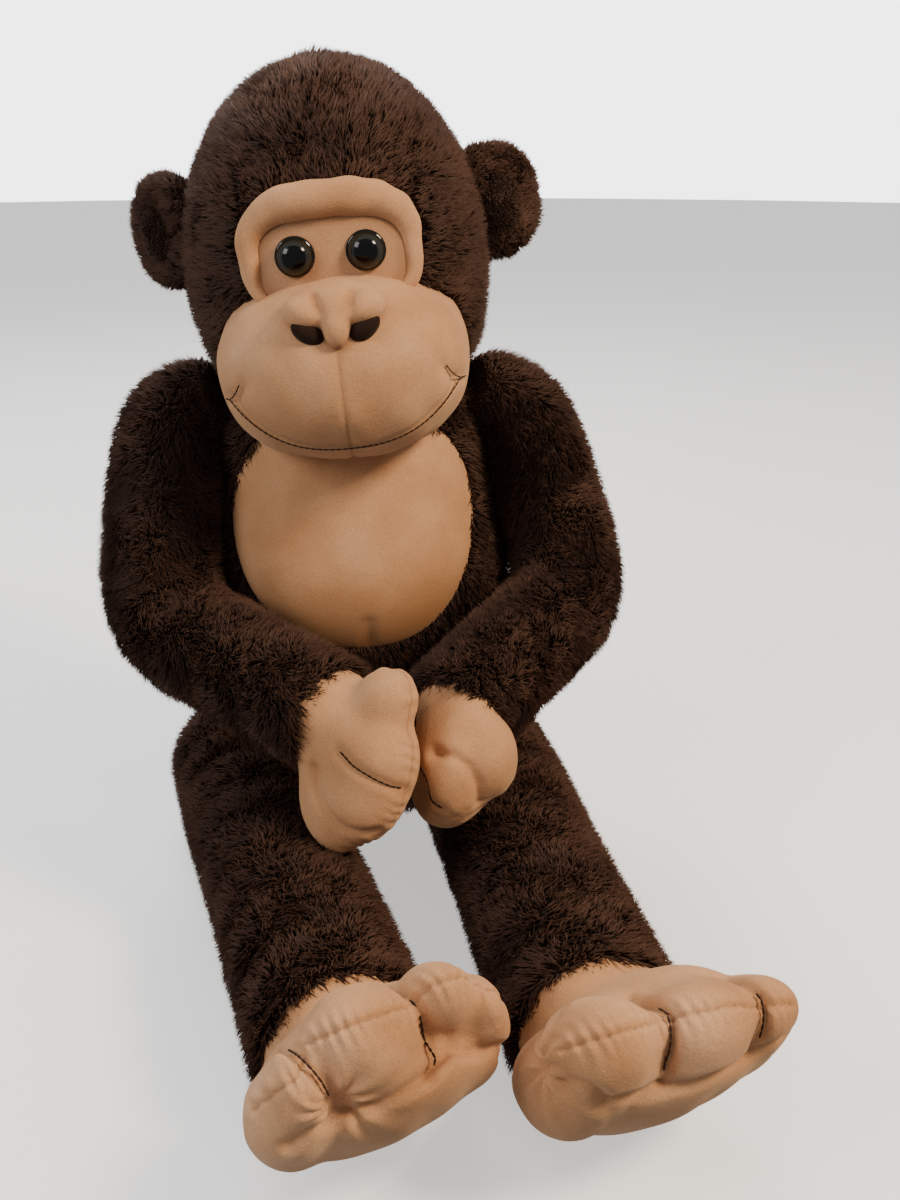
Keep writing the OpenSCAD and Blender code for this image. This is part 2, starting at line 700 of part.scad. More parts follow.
// Room for the sleeve as the hand turns, and for the trouser leg as the foot turns
module sleeve_room(i) hull() for (a = [-wrist_max - turn_play, turn_play]) swing(wrist[i], wrist_axis(i), a)
  tube(elbow[i], wrist[i], arm_r);
module leg_room(i) hull() for (a = [-ankle_max - turn_play, ankle_max + turn_play])
  swing(ankle[i], knee_axis(i), a) tube(knee[i], ankle[i], ankle_r);
function wrist_axis(i) = unit(cross(hand_dir[i], [0, 0, 1]));
module hand(i) color(tan) soft() difference() {
  union() {
    translate(wrist[i]) sphere(wrist_r);
    difference() {
      hand_place(i) {
        mitten_form(0);
        thumb_form(thumb_side[i]);
      }
      sleeve_room(i);
    }
  }
  hand_fill_form(i, cover_t - seat_play);
  hand_place(i) fill_hole([0, 0, hand_fill_z], [0, 0, -2 * wrist_r]);
}
hand_fill_z = 0.64 * hand_l;
module hand_fill_form(i, inset) hand_place(i) translate([0, 0, hand_fill_z])
  egg([hand_t / 2 - inset, 0.44 * hand_w - inset, 0.3 * hand_l - inset], fill_steps, fill_sides);
stitch_steps = 5;
hand_stitch_from = 0.5;
hand_stitch_to = 0.94;
hand_stitch_y = 0.04 * hand_w;
// Threads and dimples stand this far into what they are sewn on
sew_in = thread_d / 10;
module hand_stitch(i) color(dark) soft() hand_place(i) difference() {
  thread([
    for (k = [0:stitch_steps])
      let (t = blend(hand_stitch_from, hand_stitch_to, k / stitch_steps))
        [-hand_x(t) - thread_d / 4, hand_stitch_y, t * hand_l]
  ]);
  mitten_form(-sew_in);
}
module hand_right() hand(0);
module hand_left() hand(1);
module hand_fill_right() color(white) soft() hand_fill_form(0, cover_t);
module hand_fill_left() color(white) soft() hand_fill_form(1, cover_t);
module hand_stitch_right() hand_stitch(0);
module hand_stitch_left() hand_stitch(1);

// Legs
thigh_rows = [[0, hip_r], [0.35, thigh_r], [1, hip_r]];
shin_rows = [[0, knee_r], [0.4, hip_r], [1, ankle_r]];
function knee_axis(i) = unit(cross(ankle[i] - hip[i], [0, 0, -1]));
module thigh_form(i) along(hip[i], knee[i]) limb(thigh_l, hip_r, thigh_rows);
module shin_form(i) along(knee[i], ankle[i]) limb(shin_l, knee_r, shin_rows);
module thigh_fill_form(i, inset) along(hip[i], knee[i])
  limb_fill(thigh_l, hip_r, thigh_rows, -fill_back * hip_r, thigh_l - knee_r - knee_room, inset);
module shin_fill_form(i, inset) along(knee[i], ankle[i])
  limb_fill(shin_l, knee_r, shin_rows, -fill_back * knee_r, shin_l - foot_ball_r - cuff_room, inset);
module thigh(i) color(fur) soft() difference() {
  thigh_form(i);
  thigh_fill_form(i, cover_t - seat_play);
  fill_hole((hip[i] + knee[i]) / 2, knee[i]);
  socket(knee[i], knee_r);
  hull() for (a = [0, knee_max + turn_play]) swing(knee[i], knee_axis(i), a)
    tube(knee[i], ankle[i], hip_r);
  floor_cut();
}
module shin(i) color(fur) soft() difference() {
  shin_form(i);
  shin_fill_form(i, cover_t - seat_play);
  fill_hole((knee[i] + ankle[i]) / 2, ankle[i]);
  socket(ankle[i], foot_ball_r);
  floor_cut();
}
module thigh_right() thigh(0);
module thigh_left() thigh(1);
module thigh_fill_right() color(white) soft() thigh_fill_form(0, cover_t);
module thigh_fill_left() color(white) soft() thigh_fill_form(1, cover_t);
module shin_right() shin(0);
module shin_left() shin(1);
module shin_fill_right() color(white) soft() shin_fill_form(0, cover_t);
module shin_fill_left() color(white) soft() shin_fill_form(1, cover_t);

// Feet, built flat with the toes at -Y and the sole at -Z, around the ankle at zero
foot_rows = [
  [0, 0.34, 0.42], [0.12, 0.62, 0.82], [0.35, 0.74, 0.98], [0.6, 0.9, 0.96], [0.8, 1, 0.96],
  [0.93, 0.86, 0.76], [1, 0.5, 0.34]
];
foot_rings = 9;
foot_sides = 24;
heel_back = 33;
foot_drop = 20;
toe_splits = [[-0.42, 0.3], [-0.12, 0.46]];
toe_cut = 0.2;
function foot_half_w(t) = curve(foot_rows, t, 1) * foot_w / 2;
toe_groove_w = 12;
toes_from = 0.5;
toes_full = 0.35;
function toe_groove(i, t, x) =
  1 - toe_cut * ease((t - toes_from) / toes_full)
  * max([for (s = toe_splits[i]) bump(x, s * foot_w / 2, toe_groove_w)]);
function foot_half_t(i, t, x) = curve(foot_rows, t, 2) * foot_t / 2 * toe_groove(i, t, x);
function foot_ring(i, t, inset) = [
  for (j = [0:foot_sides - 1])
    let (a = -360 * j / foot_sides, x = (foot_half_w(t) - inset) * cos(a))
      [x, heel_back - inset - t * (foot_l - 2 * inset), (foot_half_t(i, t, x) - inset) * sin(a) - foot_drop]
];
module foot_body(i, inset) skin([for (k = [0:foot_rings]) foot_ring(i, k / foot_rings, inset)]);
module foot_place(i) translate(ankle[i]) rotate([0, 0, foot_yaw[i]]) rotate([-foot_pitch, 0, 0])
  rotate([0, foot_roll[i], 0]) children();
module foot(i) color(tan) soft() difference() {
  union() {
    translate(ankle[i]) sphere(foot_ball_r);
    difference() {
      foot_place(i) foot_body(i, 0);
      leg_room(i);
    }
  }
  foot_fill_form(i, cover_t - seat_play);
  foot_place(i) fill_hole(foot_fill_at, -foot_fill_at);
  floor_cut();
}
foot_fill_at = [0, heel_back - 0.7 * foot_l, -foot_drop];
module foot_fill_form(i, inset) foot_place(i) translate(foot_fill_at)
  egg([0.42 * foot_w - inset, 0.24 * foot_l - inset, 0.42 * foot_t - inset], fill_steps, fill_sides);
function toe_point(i, x, t, side) =
  [x, heel_back - t * foot_l, side * foot_half_t(i, t, x) * sqrt(1 - pow(x / foot_half_w(t), 2)) - foot_drop];
toe_stitch_from = 0.8;
toe_stitch_to = 0.99;
function toe_t(k) = blend(toe_stitch_from, toe_stitch_to, k / stitch_steps);
module toe_stitch(i) color(dark) soft() foot_place(i) difference() {
  for (s = toe_splits[i])
    thread(concat(
      [for (k = [0:stitch_steps]) toe_point(i, s * foot_w / 2, toe_t(k), 1)],
      [for (k = [stitch_steps:-1:0]) toe_point(i, s * foot_w / 2, toe_t(k), -1)]
    ));
  foot_body(i, -sew_in);
}
module foot_right() foot(0);
module foot_left() foot(1);
module foot_fill_right() color(white) soft() foot_fill_form(0, cover_t);
module foot_fill_left() color(white) soft() foot_fill_form(1, cover_t);
module toe_stitch_right() toe_stitch(0);
module toe_stitch_left() toe_stitch(1);
// The surface that the monkey sits on
module floor_cut() translate([0, 0, -body_h]) cube(2 * body_h, center = true);

torso_cover();
torso_fill();
belly_panel();
head_cover();
head_fill();
muzzle_cover();
muzzle_fill();
brow_roll();
eye_panel();
nose();
nostrils();
mouth_stitch();
eye_right();
eye_left();
eye_washers();
ear_right();
ear_left();
ear_lining_right();
ear_lining_left();
upper_arm_right();
upper_arm_left();
upper_arm_fill_right();
upper_arm_fill_left();
forearm_right();
forearm_left();
forearm_fill_right();
forearm_fill_left();
hand_right();
hand_left();
hand_fill_right();
hand_fill_left();
hand_stitch_right();
hand_stitch_left();
thigh_right();
thigh_left();
thigh_fill_right();
thigh_fill_left();
shin_right();
shin_left();
shin_fill_right();
shin_fill_left();
foot_right();
foot_left();
foot_fill_right();
foot_fill_left();
toe_stitch_right();
toe_stitch_left();
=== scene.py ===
# %% [markdown]
# # A stuffed monkey, sewn in numpy
#
# The toy is a plush monkey that sits with its legs out and its hands in its lap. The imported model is
# the frame: it has the bodies, the joints and the plain solids. This lesson covers that frame with what
# is seen of the toy, which is curly brown pile, velvety tan plush, thread and two plastic eyes. Sizes
# are in millimetres, as a pattern cutter writes them, and `MM` turns them into Blender's metres when a
# mesh is made.

import json

import bpy
import numpy as np
from mathutils import Matrix


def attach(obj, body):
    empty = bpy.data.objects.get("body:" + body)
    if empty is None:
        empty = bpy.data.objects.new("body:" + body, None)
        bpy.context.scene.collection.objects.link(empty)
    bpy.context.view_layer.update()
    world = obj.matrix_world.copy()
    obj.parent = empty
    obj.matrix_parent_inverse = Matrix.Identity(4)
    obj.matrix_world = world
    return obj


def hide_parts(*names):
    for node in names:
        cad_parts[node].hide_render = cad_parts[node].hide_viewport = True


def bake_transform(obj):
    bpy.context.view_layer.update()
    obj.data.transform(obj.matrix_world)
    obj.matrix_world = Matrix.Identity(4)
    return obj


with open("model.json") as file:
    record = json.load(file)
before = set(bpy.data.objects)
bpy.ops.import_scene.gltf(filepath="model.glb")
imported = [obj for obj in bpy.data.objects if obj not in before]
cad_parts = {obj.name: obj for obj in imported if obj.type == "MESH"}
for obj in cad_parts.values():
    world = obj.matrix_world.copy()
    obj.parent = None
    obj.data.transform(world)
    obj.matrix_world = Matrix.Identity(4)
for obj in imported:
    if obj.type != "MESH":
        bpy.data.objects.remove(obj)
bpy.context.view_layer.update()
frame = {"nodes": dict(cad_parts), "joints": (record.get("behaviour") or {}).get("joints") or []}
MM = 0.001
SIDES = {"right": -1, "left": 1}
joint_at = {j["name"]: np.array(j["pos_m"]) / MM for j in frame["joints"]}
joint_axis = {j["name"]: j["axis"] for j in frame["joints"]}
joint_range = {j["name"]: j["range_deg"] for j in frame["joints"]}

# %% [markdown]
# ## Camera
#
# The photograph was taken from a little above and to the monkey's right. The camera is set by its place
# and by two angles, which give the three axes of its matrix: right, up and back. A constraint could aim
# it too, but would need an object to look at.


# %% Camera
def standing(right, up, back, place):
    """The matrix of a camera or a lamp: its three axes and its place as columns."""
    matrix = np.eye(4)
    matrix[:3] = np.stack([right, up, back, place], 1)
    return Matrix(matrix.tolist())


view_turn, view_pitch = np.radians(-8.0), np.radians(20.0)
camera_at = np.array([-0.0645, -1.0464, 0.5567])
level = np.array([-np.sin(view_turn), np.cos(view_turn), 0.0]) * np.cos(view_pitch)
ahead = level - [0, 0, np.sin(view_pitch)]
rightward = np.array([np.cos(view_turn), np.sin(view_turn), 0.0])
camera = bpy.data.objects.new("camera", bpy.data.cameras.new("camera"))
bpy.context.scene.collection.objects.link(camera)
camera.matrix_world = standing(rightward, np.cross(rightward, ahead), -ahead, camera_at)
camera.data.sensor_fit = "VERTICAL"
camera.data.sensor_width = camera.data.sensor_height = 36.0
camera.data.lens = 39.9
bpy.context.scene.camera = camera
print("camera at", camera_at)

# %% [markdown]
# ## Small tools
#
# Every piece below is a skin over rings of points. A few helpers do the sewing: a smooth curve through
# a table of rows, a skin over a grid of rings, its normals, and the step that hands the arrays to
# Blender. Modelling tools could do each of these by hand, but a formula can be changed and run again.


# %% Curves and directions
def unit(v):
    """Vectors of length one: each vector over its own length."""
    return v / np.maximum(np.linalg.norm(v, axis=-1, keepdims=True), 1e-9)


def ease(t):
    """A smooth step from 0 to 1: three t squared minus two t cubed, with t held between 0 and 1."""
    t = np.clip(t, 0, 1)
    return t * t * (3 - 2 * t)


def bell(gap, width):
    """A bell that is 1 at no gap: exp of minus the square of gap over width."""
    return np.exp(-((gap / width) ** 2))


def round_turn(sides):
    """Even angles once round."""
    return np.linspace(0, 2 * np.pi, sides, endpoint=False)


def turned(axis, degrees):
    """The matrix of a turn about an axis: c I + s [axis] + (1 - c) axis axis."""
    k = unit(np.asarray(axis, float))
    c, s = np.cos(np.radians(degrees)), np.sin(np.radians(degrees))
    cross = np.array([[0, -k[2], k[1]], [k[2], 0, -k[0]], [-k[1], k[0], 0]])
    return c * np.eye(3) + s * cross + (1 - c) * np.outer(k, k)


def lumps(points, wave, seed):
    """Soft unevenness between about -1 and 1: a third of the sum of six sine waves in random directions."""
    rng = np.random.default_rng(seed)
    ways = unit(rng.normal(size=(6, 3))) * 2 * np.pi / wave
    return np.sin(points @ ways.T + rng.random(6) * 2 * np.pi).sum(-1) / 3


# %% Tables and paths
def row_curve(rows, t, column):
    """A column of a table at t: cubic pieces through the rows, sloped like the lines past each row."""
    rows = np.asarray(rows, float)
    x, y = rows[:, 0], rows[:, column]
    step = np.arange(len(x))
    before, after = np.maximum(step - 1, 0), np.minimum(step + 1, len(x) - 1)
    slope = (y[after] - y[before]) / (x[after] - x[before])
    t = np.clip(t, x[0], x[-1])
    i = np.clip(np.searchsorted(x, t, side="right") - 1, 0, len(x) - 2)
    h = x[i + 1] - x[i]
    s = (t - x[i]) / h
    return (
        y[i] * (1 + 2 * s) * (1 - s) ** 2
        + slope[i] * h * s * (1 - s) ** 2
        + y[i + 1] * s * s * (3 - 2 * s)
        + slope[i + 1] * h * s * s * (s - 1)
    )


def read_between(spots, places, rows):
    """Rows of numbers read between the places where they stand, by straight lines, column by column."""
    return np.stack([np.interp(spots, places, column) for column in rows.T], -1)


def spread(corners, steps):
    """Even steps by way of corners, with as many steps between each two."""
    corners = np.asarray(corners, float)
    return read_between(np.linspace(0, len(corners) - 1, steps), np.arange(len(corners)), corners)


def lengths_along(path):
    """How far along a path each of its points lies."""
    return np.concatenate([[0], np.cumsum(np.linalg.norm(np.diff(path, axis=0), axis=1))])


def distance_to(points, path):
    """The distance from each point to a line of points, by its nearest piece."""
    a, ab = path[:-1], path[1:] - path[:-1]
    t = ((points[:, None] - a) * ab).sum(-1) / np.maximum((ab * ab).sum(-1), 1e-9)
    nearest = a + np.clip(t, 0, 1)[..., None] * ab
    return np.linalg.norm(points[:, None] - nearest, axis=-1).min(1)


# %% Skins
def triangles_of(quads, fans):
    """The corners of all triangles, with each quad as two."""
    return np.concatenate([quads[:, :3], quads[:, [0, 2, 3]], fans])


def skin(grid):
    """Faces over a grid of closed rings: quads between the rings and a fan at either end."""
    rings, sides, _ = grid.shape
    points = np.concatenate([grid.reshape(-1, 3), grid[[0, -1]].mean(1)])
    i, j = np.meshgrid(np.arange(rings - 1) * sides, np.arange(sides), indexing="ij")
    k = (j + 1) % sides
    quads = np.stack([i + j, i + k, i + sides + k, i + sides + j], -1).reshape(-1, 4)
    j = np.arange(sides)
    k, last = (j + 1) % sides, (rings - 1) * sides
    middle = np.full(sides, rings * sides)
    fans = np.concatenate([np.stack([middle, k, j], -1), np.stack([middle + 1, last + j, last + k], -1)])
    a, b, c = points[triangles_of(quads, fans).T]
    if (a * np.cross(b, c)).sum() < 0:
        quads, fans = quads[:, ::-1], fans[:, ::-1]
    return points, quads, fans


def normals_of(points, quads, fans):
    """The outward direction at each point: the sum of the areas of the faces round it."""
    corners = triangles_of(quads, fans).T
    a, b, c = points[corners]
    area = np.cross(b - a, c - a)
    total = np.zeros_like(points)
    for corner in corners:
        np.add.at(total, corner, area)
    return unit(total)


def in_metres(points):
    """Points in millimetres as the flat row of metres that Blender takes."""
    return (points * MM).astype(np.float32).ravel()


def put_mesh(name, points, quads, triangles, **marks):
    """A Blender object at the origin from points in millimetres, with one float attribute for each mark."""
    mesh = bpy.data.meshes.new(name)
    loops = np.concatenate([quads.ravel(), triangles.ravel()])
    sizes = np.concatenate([np.full(len(quads), 4), np.full(len(triangles), 3)])
    mesh.vertices.add(len(points))
    mesh.vertices.foreach_set("co", in_metres(points))
    mesh.loops.add(len(loops))
    mesh.loops.foreach_set("vertex_index", loops.astype(np.int32))
    mesh.polygons.add(len(sizes))
    mesh.polygons.foreach_set("loop_start", (np.cumsum(sizes) - sizes).astype(np.int32))
    mesh.polygons.foreach_set("use_smooth", np.ones(len(sizes), bool))
    mesh.update(calc_edges=True)
    for mark, values in marks.items():
        layer = mesh.attributes.new(mark, "FLOAT", "POINT")
        layer.data.foreach_set("value", np.zeros(len(points), np.float32) + np.asarray(values, np.float32))
    piece = bpy.data.objects.new(name, mesh)
    bpy.context.scene.collection.objects.link(piece)
    print(name, len(points), "points,", len(quads) * 2 + len(triangles), "triangles")
    return piece


def hand_over(piece, body, nodes, finish):
    """Give a piece to the frame: its finish, its body, the solids it stands for, its filling."""
    piece.data.materials.append(finish)
    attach(piece, body)
    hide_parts(*nodes)


# %% [markdown]
# ## Finishes
#
# Velvety plush scatters light back along its nap, so it has no gloss, a soft sheen, and patches that
# are brushed lighter or darker. Two noises make that: a broad one moves the colour, and a fine one is
# the pile itself, in the bump. A photograph of cloth could do it too, but noise has no seams and needs
# no file. Every plush mesh also carries a float attribute that mixes in a darker colour: it darkens
# each seam, and it holds painted shade in creases, under the brow, round the nose and low on the belly.


# %% Node tools
def material_with(name):
    """A new material with its node tree, and its shader."""
    material = bpy.data.materials.new(name)
    material.use_nodes = True
    tree = material.node_tree
    return material, tree, tree.nodes["Principled BSDF"]


def feed(node, values):
    """Give a node's inputs their values: a socket is linked, and three numbers are a colour."""
    for name, value in values.items():
        if isinstance(value, bpy.types.NodeSocket):
            node.id_data.links.new(value, node.inputs[name])
        else:
            node.inputs[name].default_value = (*value, 1) if isinstance(value, tuple) else value


def noise_node(tree, scale, detail):
    """A noise on Object coordinates, so that the pattern stays on the cloth."""
    place = tree.nodes.new("ShaderNodeTexCoord")
    noise = tree.nodes.new("ShaderNodeTexNoise")
    feed(noise, {"Vector": place.outputs["Object"], "Scale": scale, "Detail": detail})
    return noise.outputs["Fac"]


def ramp_node(tree, factor, stops):
    """A colour ramp with the given (place, colour) stops."""
    ramp = tree.nodes.new("ShaderNodeValToRGB")
    while len(ramp.color_ramp.elements) < len(stops):
        ramp.color_ramp.elements.new(0.5)
    for element, (place, colour) in zip(ramp.color_ramp.elements, stops):
        element.position, element.color = place, (*colour, 1)
    feed(ramp, {"Fac": factor})
    return ramp.outputs["Color"]


def mix_node(tree, kind, factor, a, b):
    """A mix of two colours."""
    mix = tree.nodes.new("ShaderNodeMix")
    mix.data_type, mix.blend_type = "RGBA", kind
    feed(mix, {"Factor": factor, "A": a, "B": b})
    return mix.outputs["Result"]


def attribute_node(tree, name):
    """Reads a float attribute of the mesh."""
    node = tree.nodes.new("ShaderNodeAttribute")
    node.attribute_name = name
    return node.outputs["Fac"]


# %% Plush and thread
def plush(name, shade, middle, light, seam, sheen):
    """Short-pile plush: brushed patches, a fine grain in colour and bump, and a darker colour for seams and
    painted shade.
    """
    material, tree, shader = material_with(name)
    brushed = ramp_node(tree, noise_node(tree, 17, 3), [(0.3, shade), (0.5, middle), (0.7, light)])
    fine = noise_node(tree, 850, 2)
    grain = ramp_node(tree, fine, [(0.3, (0.87, 0.86, 0.85)), (0.7, (1.08, 1.08, 1.08))])
    cloth = mix_node(tree, "MULTIPLY", 1.0, brushed, grain)
    bump = tree.nodes.new("ShaderNodeBump")
    feed(bump, {"Strength": 0.35, "Distance": 0.0009, "Height": fine})
    feed(
        shader,
        {
            "Base Color": mix_node(tree, "MIX", attribute_node(tree, "crease"), cloth, seam),
            "Normal": bump.outputs["Normal"],
            "Roughness": 0.92,
            "Specular IOR Level": 0.15,
            "Sheen Weight": sheen,
            "Sheen Roughness": 0.45,
            "Sheen Tint": (1.0, 0.76, 0.52),
        },
    )
    return material


# In each plush, seam is the dark colour mixed in at seams and for painted shade.
tan_plush = plush(
    "tan plush", (0.46, 0.226, 0.102), (0.55, 0.286, 0.138), (0.63, 0.352, 0.188),
    seam=(0.2, 0.088, 0.034), sheen=0.22,
)
# A darker copy of the tan plush for the eye panel: painted shade from the brow roll above it.
shaded_plush = plush(
    "eye panel plush in painted shade", (0.44, 0.225, 0.112), (0.51, 0.275, 0.146), (0.57, 0.325, 0.182),
    seam=(0.2, 0.092, 0.038), sheen=0.12,
)
dark_plush = plush(
    "dark plush", (0.013, 0.006, 0.0036), (0.02, 0.009, 0.0054), (0.03, 0.0144, 0.009),
    seam=(0.01, 0.005, 0.003), sheen=0.1,
)
backing = plush(
    "pile backing", (0.014, 0.0055, 0.003), (0.02, 0.008, 0.0045), (0.027, 0.011, 0.006),
    seam=(0.008, 0.004, 0.003), sheen=0.0,
)
thread_finish = plush(
    "brown thread", (0.020, 0.010, 0.007), (0.030, 0.015, 0.010), (0.045, 0.024, 0.016),
    seam=(0.01, 0.006, 0.004), sheen=0.1,
)
print("plush in", [m.name for m in (tan_plush, shaded_plush, dark_plush, backing, thread_finish)])

# %% [markdown]
# Brown pile is dark where it leaves the backing and lighter at its tips, where the light gets through.
# Each strand carries two attributes: `along` runs from root to tip, and `tone` says how pale its lock
# is.


# %% Pile finish
def pile_finish(name, root, middle, tip, light_tip):
    """Long pile: dark at the root and lighter at the tip, with a tone of its own for each lock."""
    material, tree, shader = material_with(name)
    along = attribute_node(tree, "along")
    deep = ramp_node(tree, along, [(0.0, root), (0.5, middle), (1.0, tip)])
    pale = ramp_node(tree, along, [(0.0, root), (0.5, tip), (1.0, light_tip)])
    feed(
        shader,
        {
            "Base Color": mix_node(tree, "MIX", attribute_node(tree, "tone"), deep, pale),
            "Roughness": 0.7,
            "Specular IOR Level": 0.25,
            "Sheen Weight": 0.1,
            "Sheen Roughness": 0.4,
            "Sheen Tint": (1.0, 0.62, 0.42),
        },
    )
    return material


brown_pile = pile_finish(
    "brown pile", (0.011, 0.0041, 0.0022), (0.027, 0.0104, 0.0056),
    tip=(0.055, 0.0222, 0.0122), light_tip=(0.108, 0.049, 0.029),
)
print("pile in", brown_pile.name)

# %% [markdown]
# ## Pile
#
# Brown pile is the largest surface of the toy. Blender's hair is not a mesh, so each strand is a small
# closed spike of four triangles that leans along the nap. Real pile clumps into tufts: here every root
# finds the middle of its tuft, the nearest of one random point per cell of a cubic lattice, and the
# tips of a tuft lean the same way.


# %% Roots and tufts
def hashed(cells, seed):
    """Three numbers between 0 and 1 for each row of whole numbers: the fraction of a large sine."""
    mixed = cells @ np.array([[127.1, 269.5, 113.5], [311.7, 183.3, 271.9], [74.7, 246.1, 124.6]])
    return np.mod(np.sin(mixed + seed) * 43758.5453, 1.0)


def tufts(points, size, seed):
    """The middle of each point's tuft, which is the nearest of one random spot per lattice cell."""
    cell = np.floor(points / size)
    best, middle = np.full(len(points), np.inf), np.zeros_like(points)
    for step in np.ndindex(3, 3, 3):
        near_cell = cell + np.array(step) - 1
        spot = (near_cell + hashed(near_cell, seed)) * size
        distance = ((points - spot) ** 2).sum(1)
        nearer = distance < best
        best[nearer], middle[nearer] = distance[nearer], spot[nearer]
    return middle


def scatter(points, quads, count, seed):
    """Roots spread evenly over a skin: even steps along its summed area, then a random place in a quad."""
    rng = np.random.default_rng(seed)
    a, b, c, d = points[quads.T]
    face = np.cross(c - a, d - b)
    ends = np.cumsum(np.linalg.norm(face, axis=1))
    steps = (np.arange(count) + rng.random(count)) * ends[-1] / count
    q = np.minimum(np.searchsorted(ends, steps), len(quads) - 1)
    u, v = rng.random((2, count, 1))
    roots = (a[q] * (1 - u) + b[q] * u) * (1 - v) + (d[q] * (1 - u) + c[q] * u) * v
    return roots, unit(face[q])


def thinned(keep, most):
    """At most that many of the chosen roots, evenly picked."""
    chosen = np.flatnonzero(keep)
    return chosen[np.linspace(0, len(chosen) - 1, min(len(chosen), most)).astype(int)]


# %% Strands
TONES = 32
TUFT_SIZE = 8.0
SWIRL, SWAY, STRAY = 0.5, 0.38, 0.22
RISE, LEAN, PULL = 0.62, 0.75, 0.2
STRANDS_MOST = 48000
FLOOR_GAP = 0.4
STRAND = np.array([[0, 2, 1], [0, 1, 3], [1, 2, 3], [2, 0, 3]])
STRAND_FOOT, STRAND_SIDE = ([[0.1, 0.02], [0.9, 0.02], [0.5, top]] for top in (0.02, 0.98))
STRAND_MAP = np.array([STRAND_FOOT, STRAND_SIDE, STRAND_SIDE, STRAND_SIDE])
no_quads = np.zeros((0, 4), int)


def flat_on(normals, v):
    """Vectors laid flat on a surface: each less its own part along the normal."""
    return v - normals * (v * normals).sum(1, keepdims=True)


def pile(name, roots, normals, nap, length, width, seed, shade=0.0):
    """Strands of pile as thin spikes: a ring of three at the root and a point at the tip.

    A strand leans along the nap and into its tuft. Its map has a column for each tone and runs from root to
    tip, so strands of one tone share their colours. Where they are many, several pieces share them.
    """
    rng = np.random.default_rng(seed)
    count = len(roots)
    middle = tufts(roots, TUFT_SIZE, seed)
    sway = hashed(np.round(middle), seed + 5) * 2 - 1
    swirl = np.stack([lumps(roots, 48, seed + k) for k in range(3)], -1)
    lean = flat_on(normals, nap + swirl * SWIRL + sway * SWAY + rng.normal(0, STRAY, (count, 3)))
    pull = flat_on(normals, middle - roots)
    long = np.broadcast_to(length, count)[:, None] * (0.7 + 0.6 * rng.random((count, 1)))
    tip = roots + normals * long * RISE + lean * long * LEAN + pull * PULL
    across = unit(np.cross(normals, rng.normal(size=(count, 3))))
    angle = round_turn(3)[:, None]
    ring = across[:, None] * np.cos(angle) + np.cross(normals, across)[:, None] * np.sin(angle)
    half = width * (0.4 + 0.2 * rng.random((count, 1, 1)))
    points = np.concatenate([roots[:, None] + ring * half, tip[:, None]], 1)
    points[..., 2] = np.maximum(points[..., 2], FLOOR_GAP)
    # shade takes tone off every strand: painted shade, used for the pile in the hollow of an ear's lining.
    tone = 0.42 - shade + 0.24 * lumps(roots, 70, seed) + 0.2 * sway[:, 0] + rng.normal(0, 0.13, count)
    column = np.clip(np.round(tone * TONES), 0, TONES - 1)
    places = np.broadcast_to(STRAND_MAP.reshape(-1, 2), (count, 12, 2)).copy()
    places[..., 0] = (places[..., 0] + column[:, None]) / TONES
    pieces = []
    parts = int(np.ceil(count / STRANDS_MOST))
    for part in range(parts):
        some = slice(part, None, parts)
        here = len(points[some])
        piece = put_mesh(
            f"{name}_{part + 1}",
            points[some].reshape(-1, 3),
            no_quads,
            (np.arange(here)[:, None, None] * 4 + STRAND).reshape(-1, 3),
            along=np.tile([0, 0, 0, 1.0], here),
            tone=np.repeat(column[some] / (TONES - 1), 4),
        )
        layer = piece.data.uv_layers.new(name="OFBake")
        layer.data.foreach_set("uv", places[some].astype(np.float32).ravel())
        piece.data.materials.append(brown_pile)
        pieces.append(piece)
    return pieces


# %% [markdown]
# ## Stuffing
#
# A stuffed cover is cloth blown up from inside. The plain form is woven anew as an even net of small
# squares, the net becomes Blender's Cloth with a steady pressure, and the points along the seams are
# sewn down. After a few frames the cover has swollen between its seams. The move of each point is
# capped, one subdivision smooths the net, and the seams are pressed in afterwards, because a net is too
# coarse for them.


# %% Cover tools
def press(points, path, depth, width):
    """How far a seam along a path sinks each point: depth times a bell of that width."""
    return depth * bell(distance_to(points, path), width)


def settle(piece):
    """Replace a piece's mesh by what its modifiers make of it."""
    plain = piece.data
    made = bpy.data.meshes.new_from_object(piece.evaluated_get(bpy.context.evaluated_depsgraph_get()))
    piece.modifiers.clear()
    piece.data = made
    bpy.data.meshes.remove(plain)


def points_of(piece, what="co"):
    """A piece's points in millimetres, or its outward directions."""
    values = np.empty(3 * len(piece.data.vertices), np.float32)
    piece.data.vertices.foreach_get(what, values)
    return values.reshape(-1, 3).astype(float) / (MM if what == "co" else 1)


# %% Stuffing
PRESSURE = 3.0
MOST_SWELL = 3.0
CLOTH_FRAMES = 14


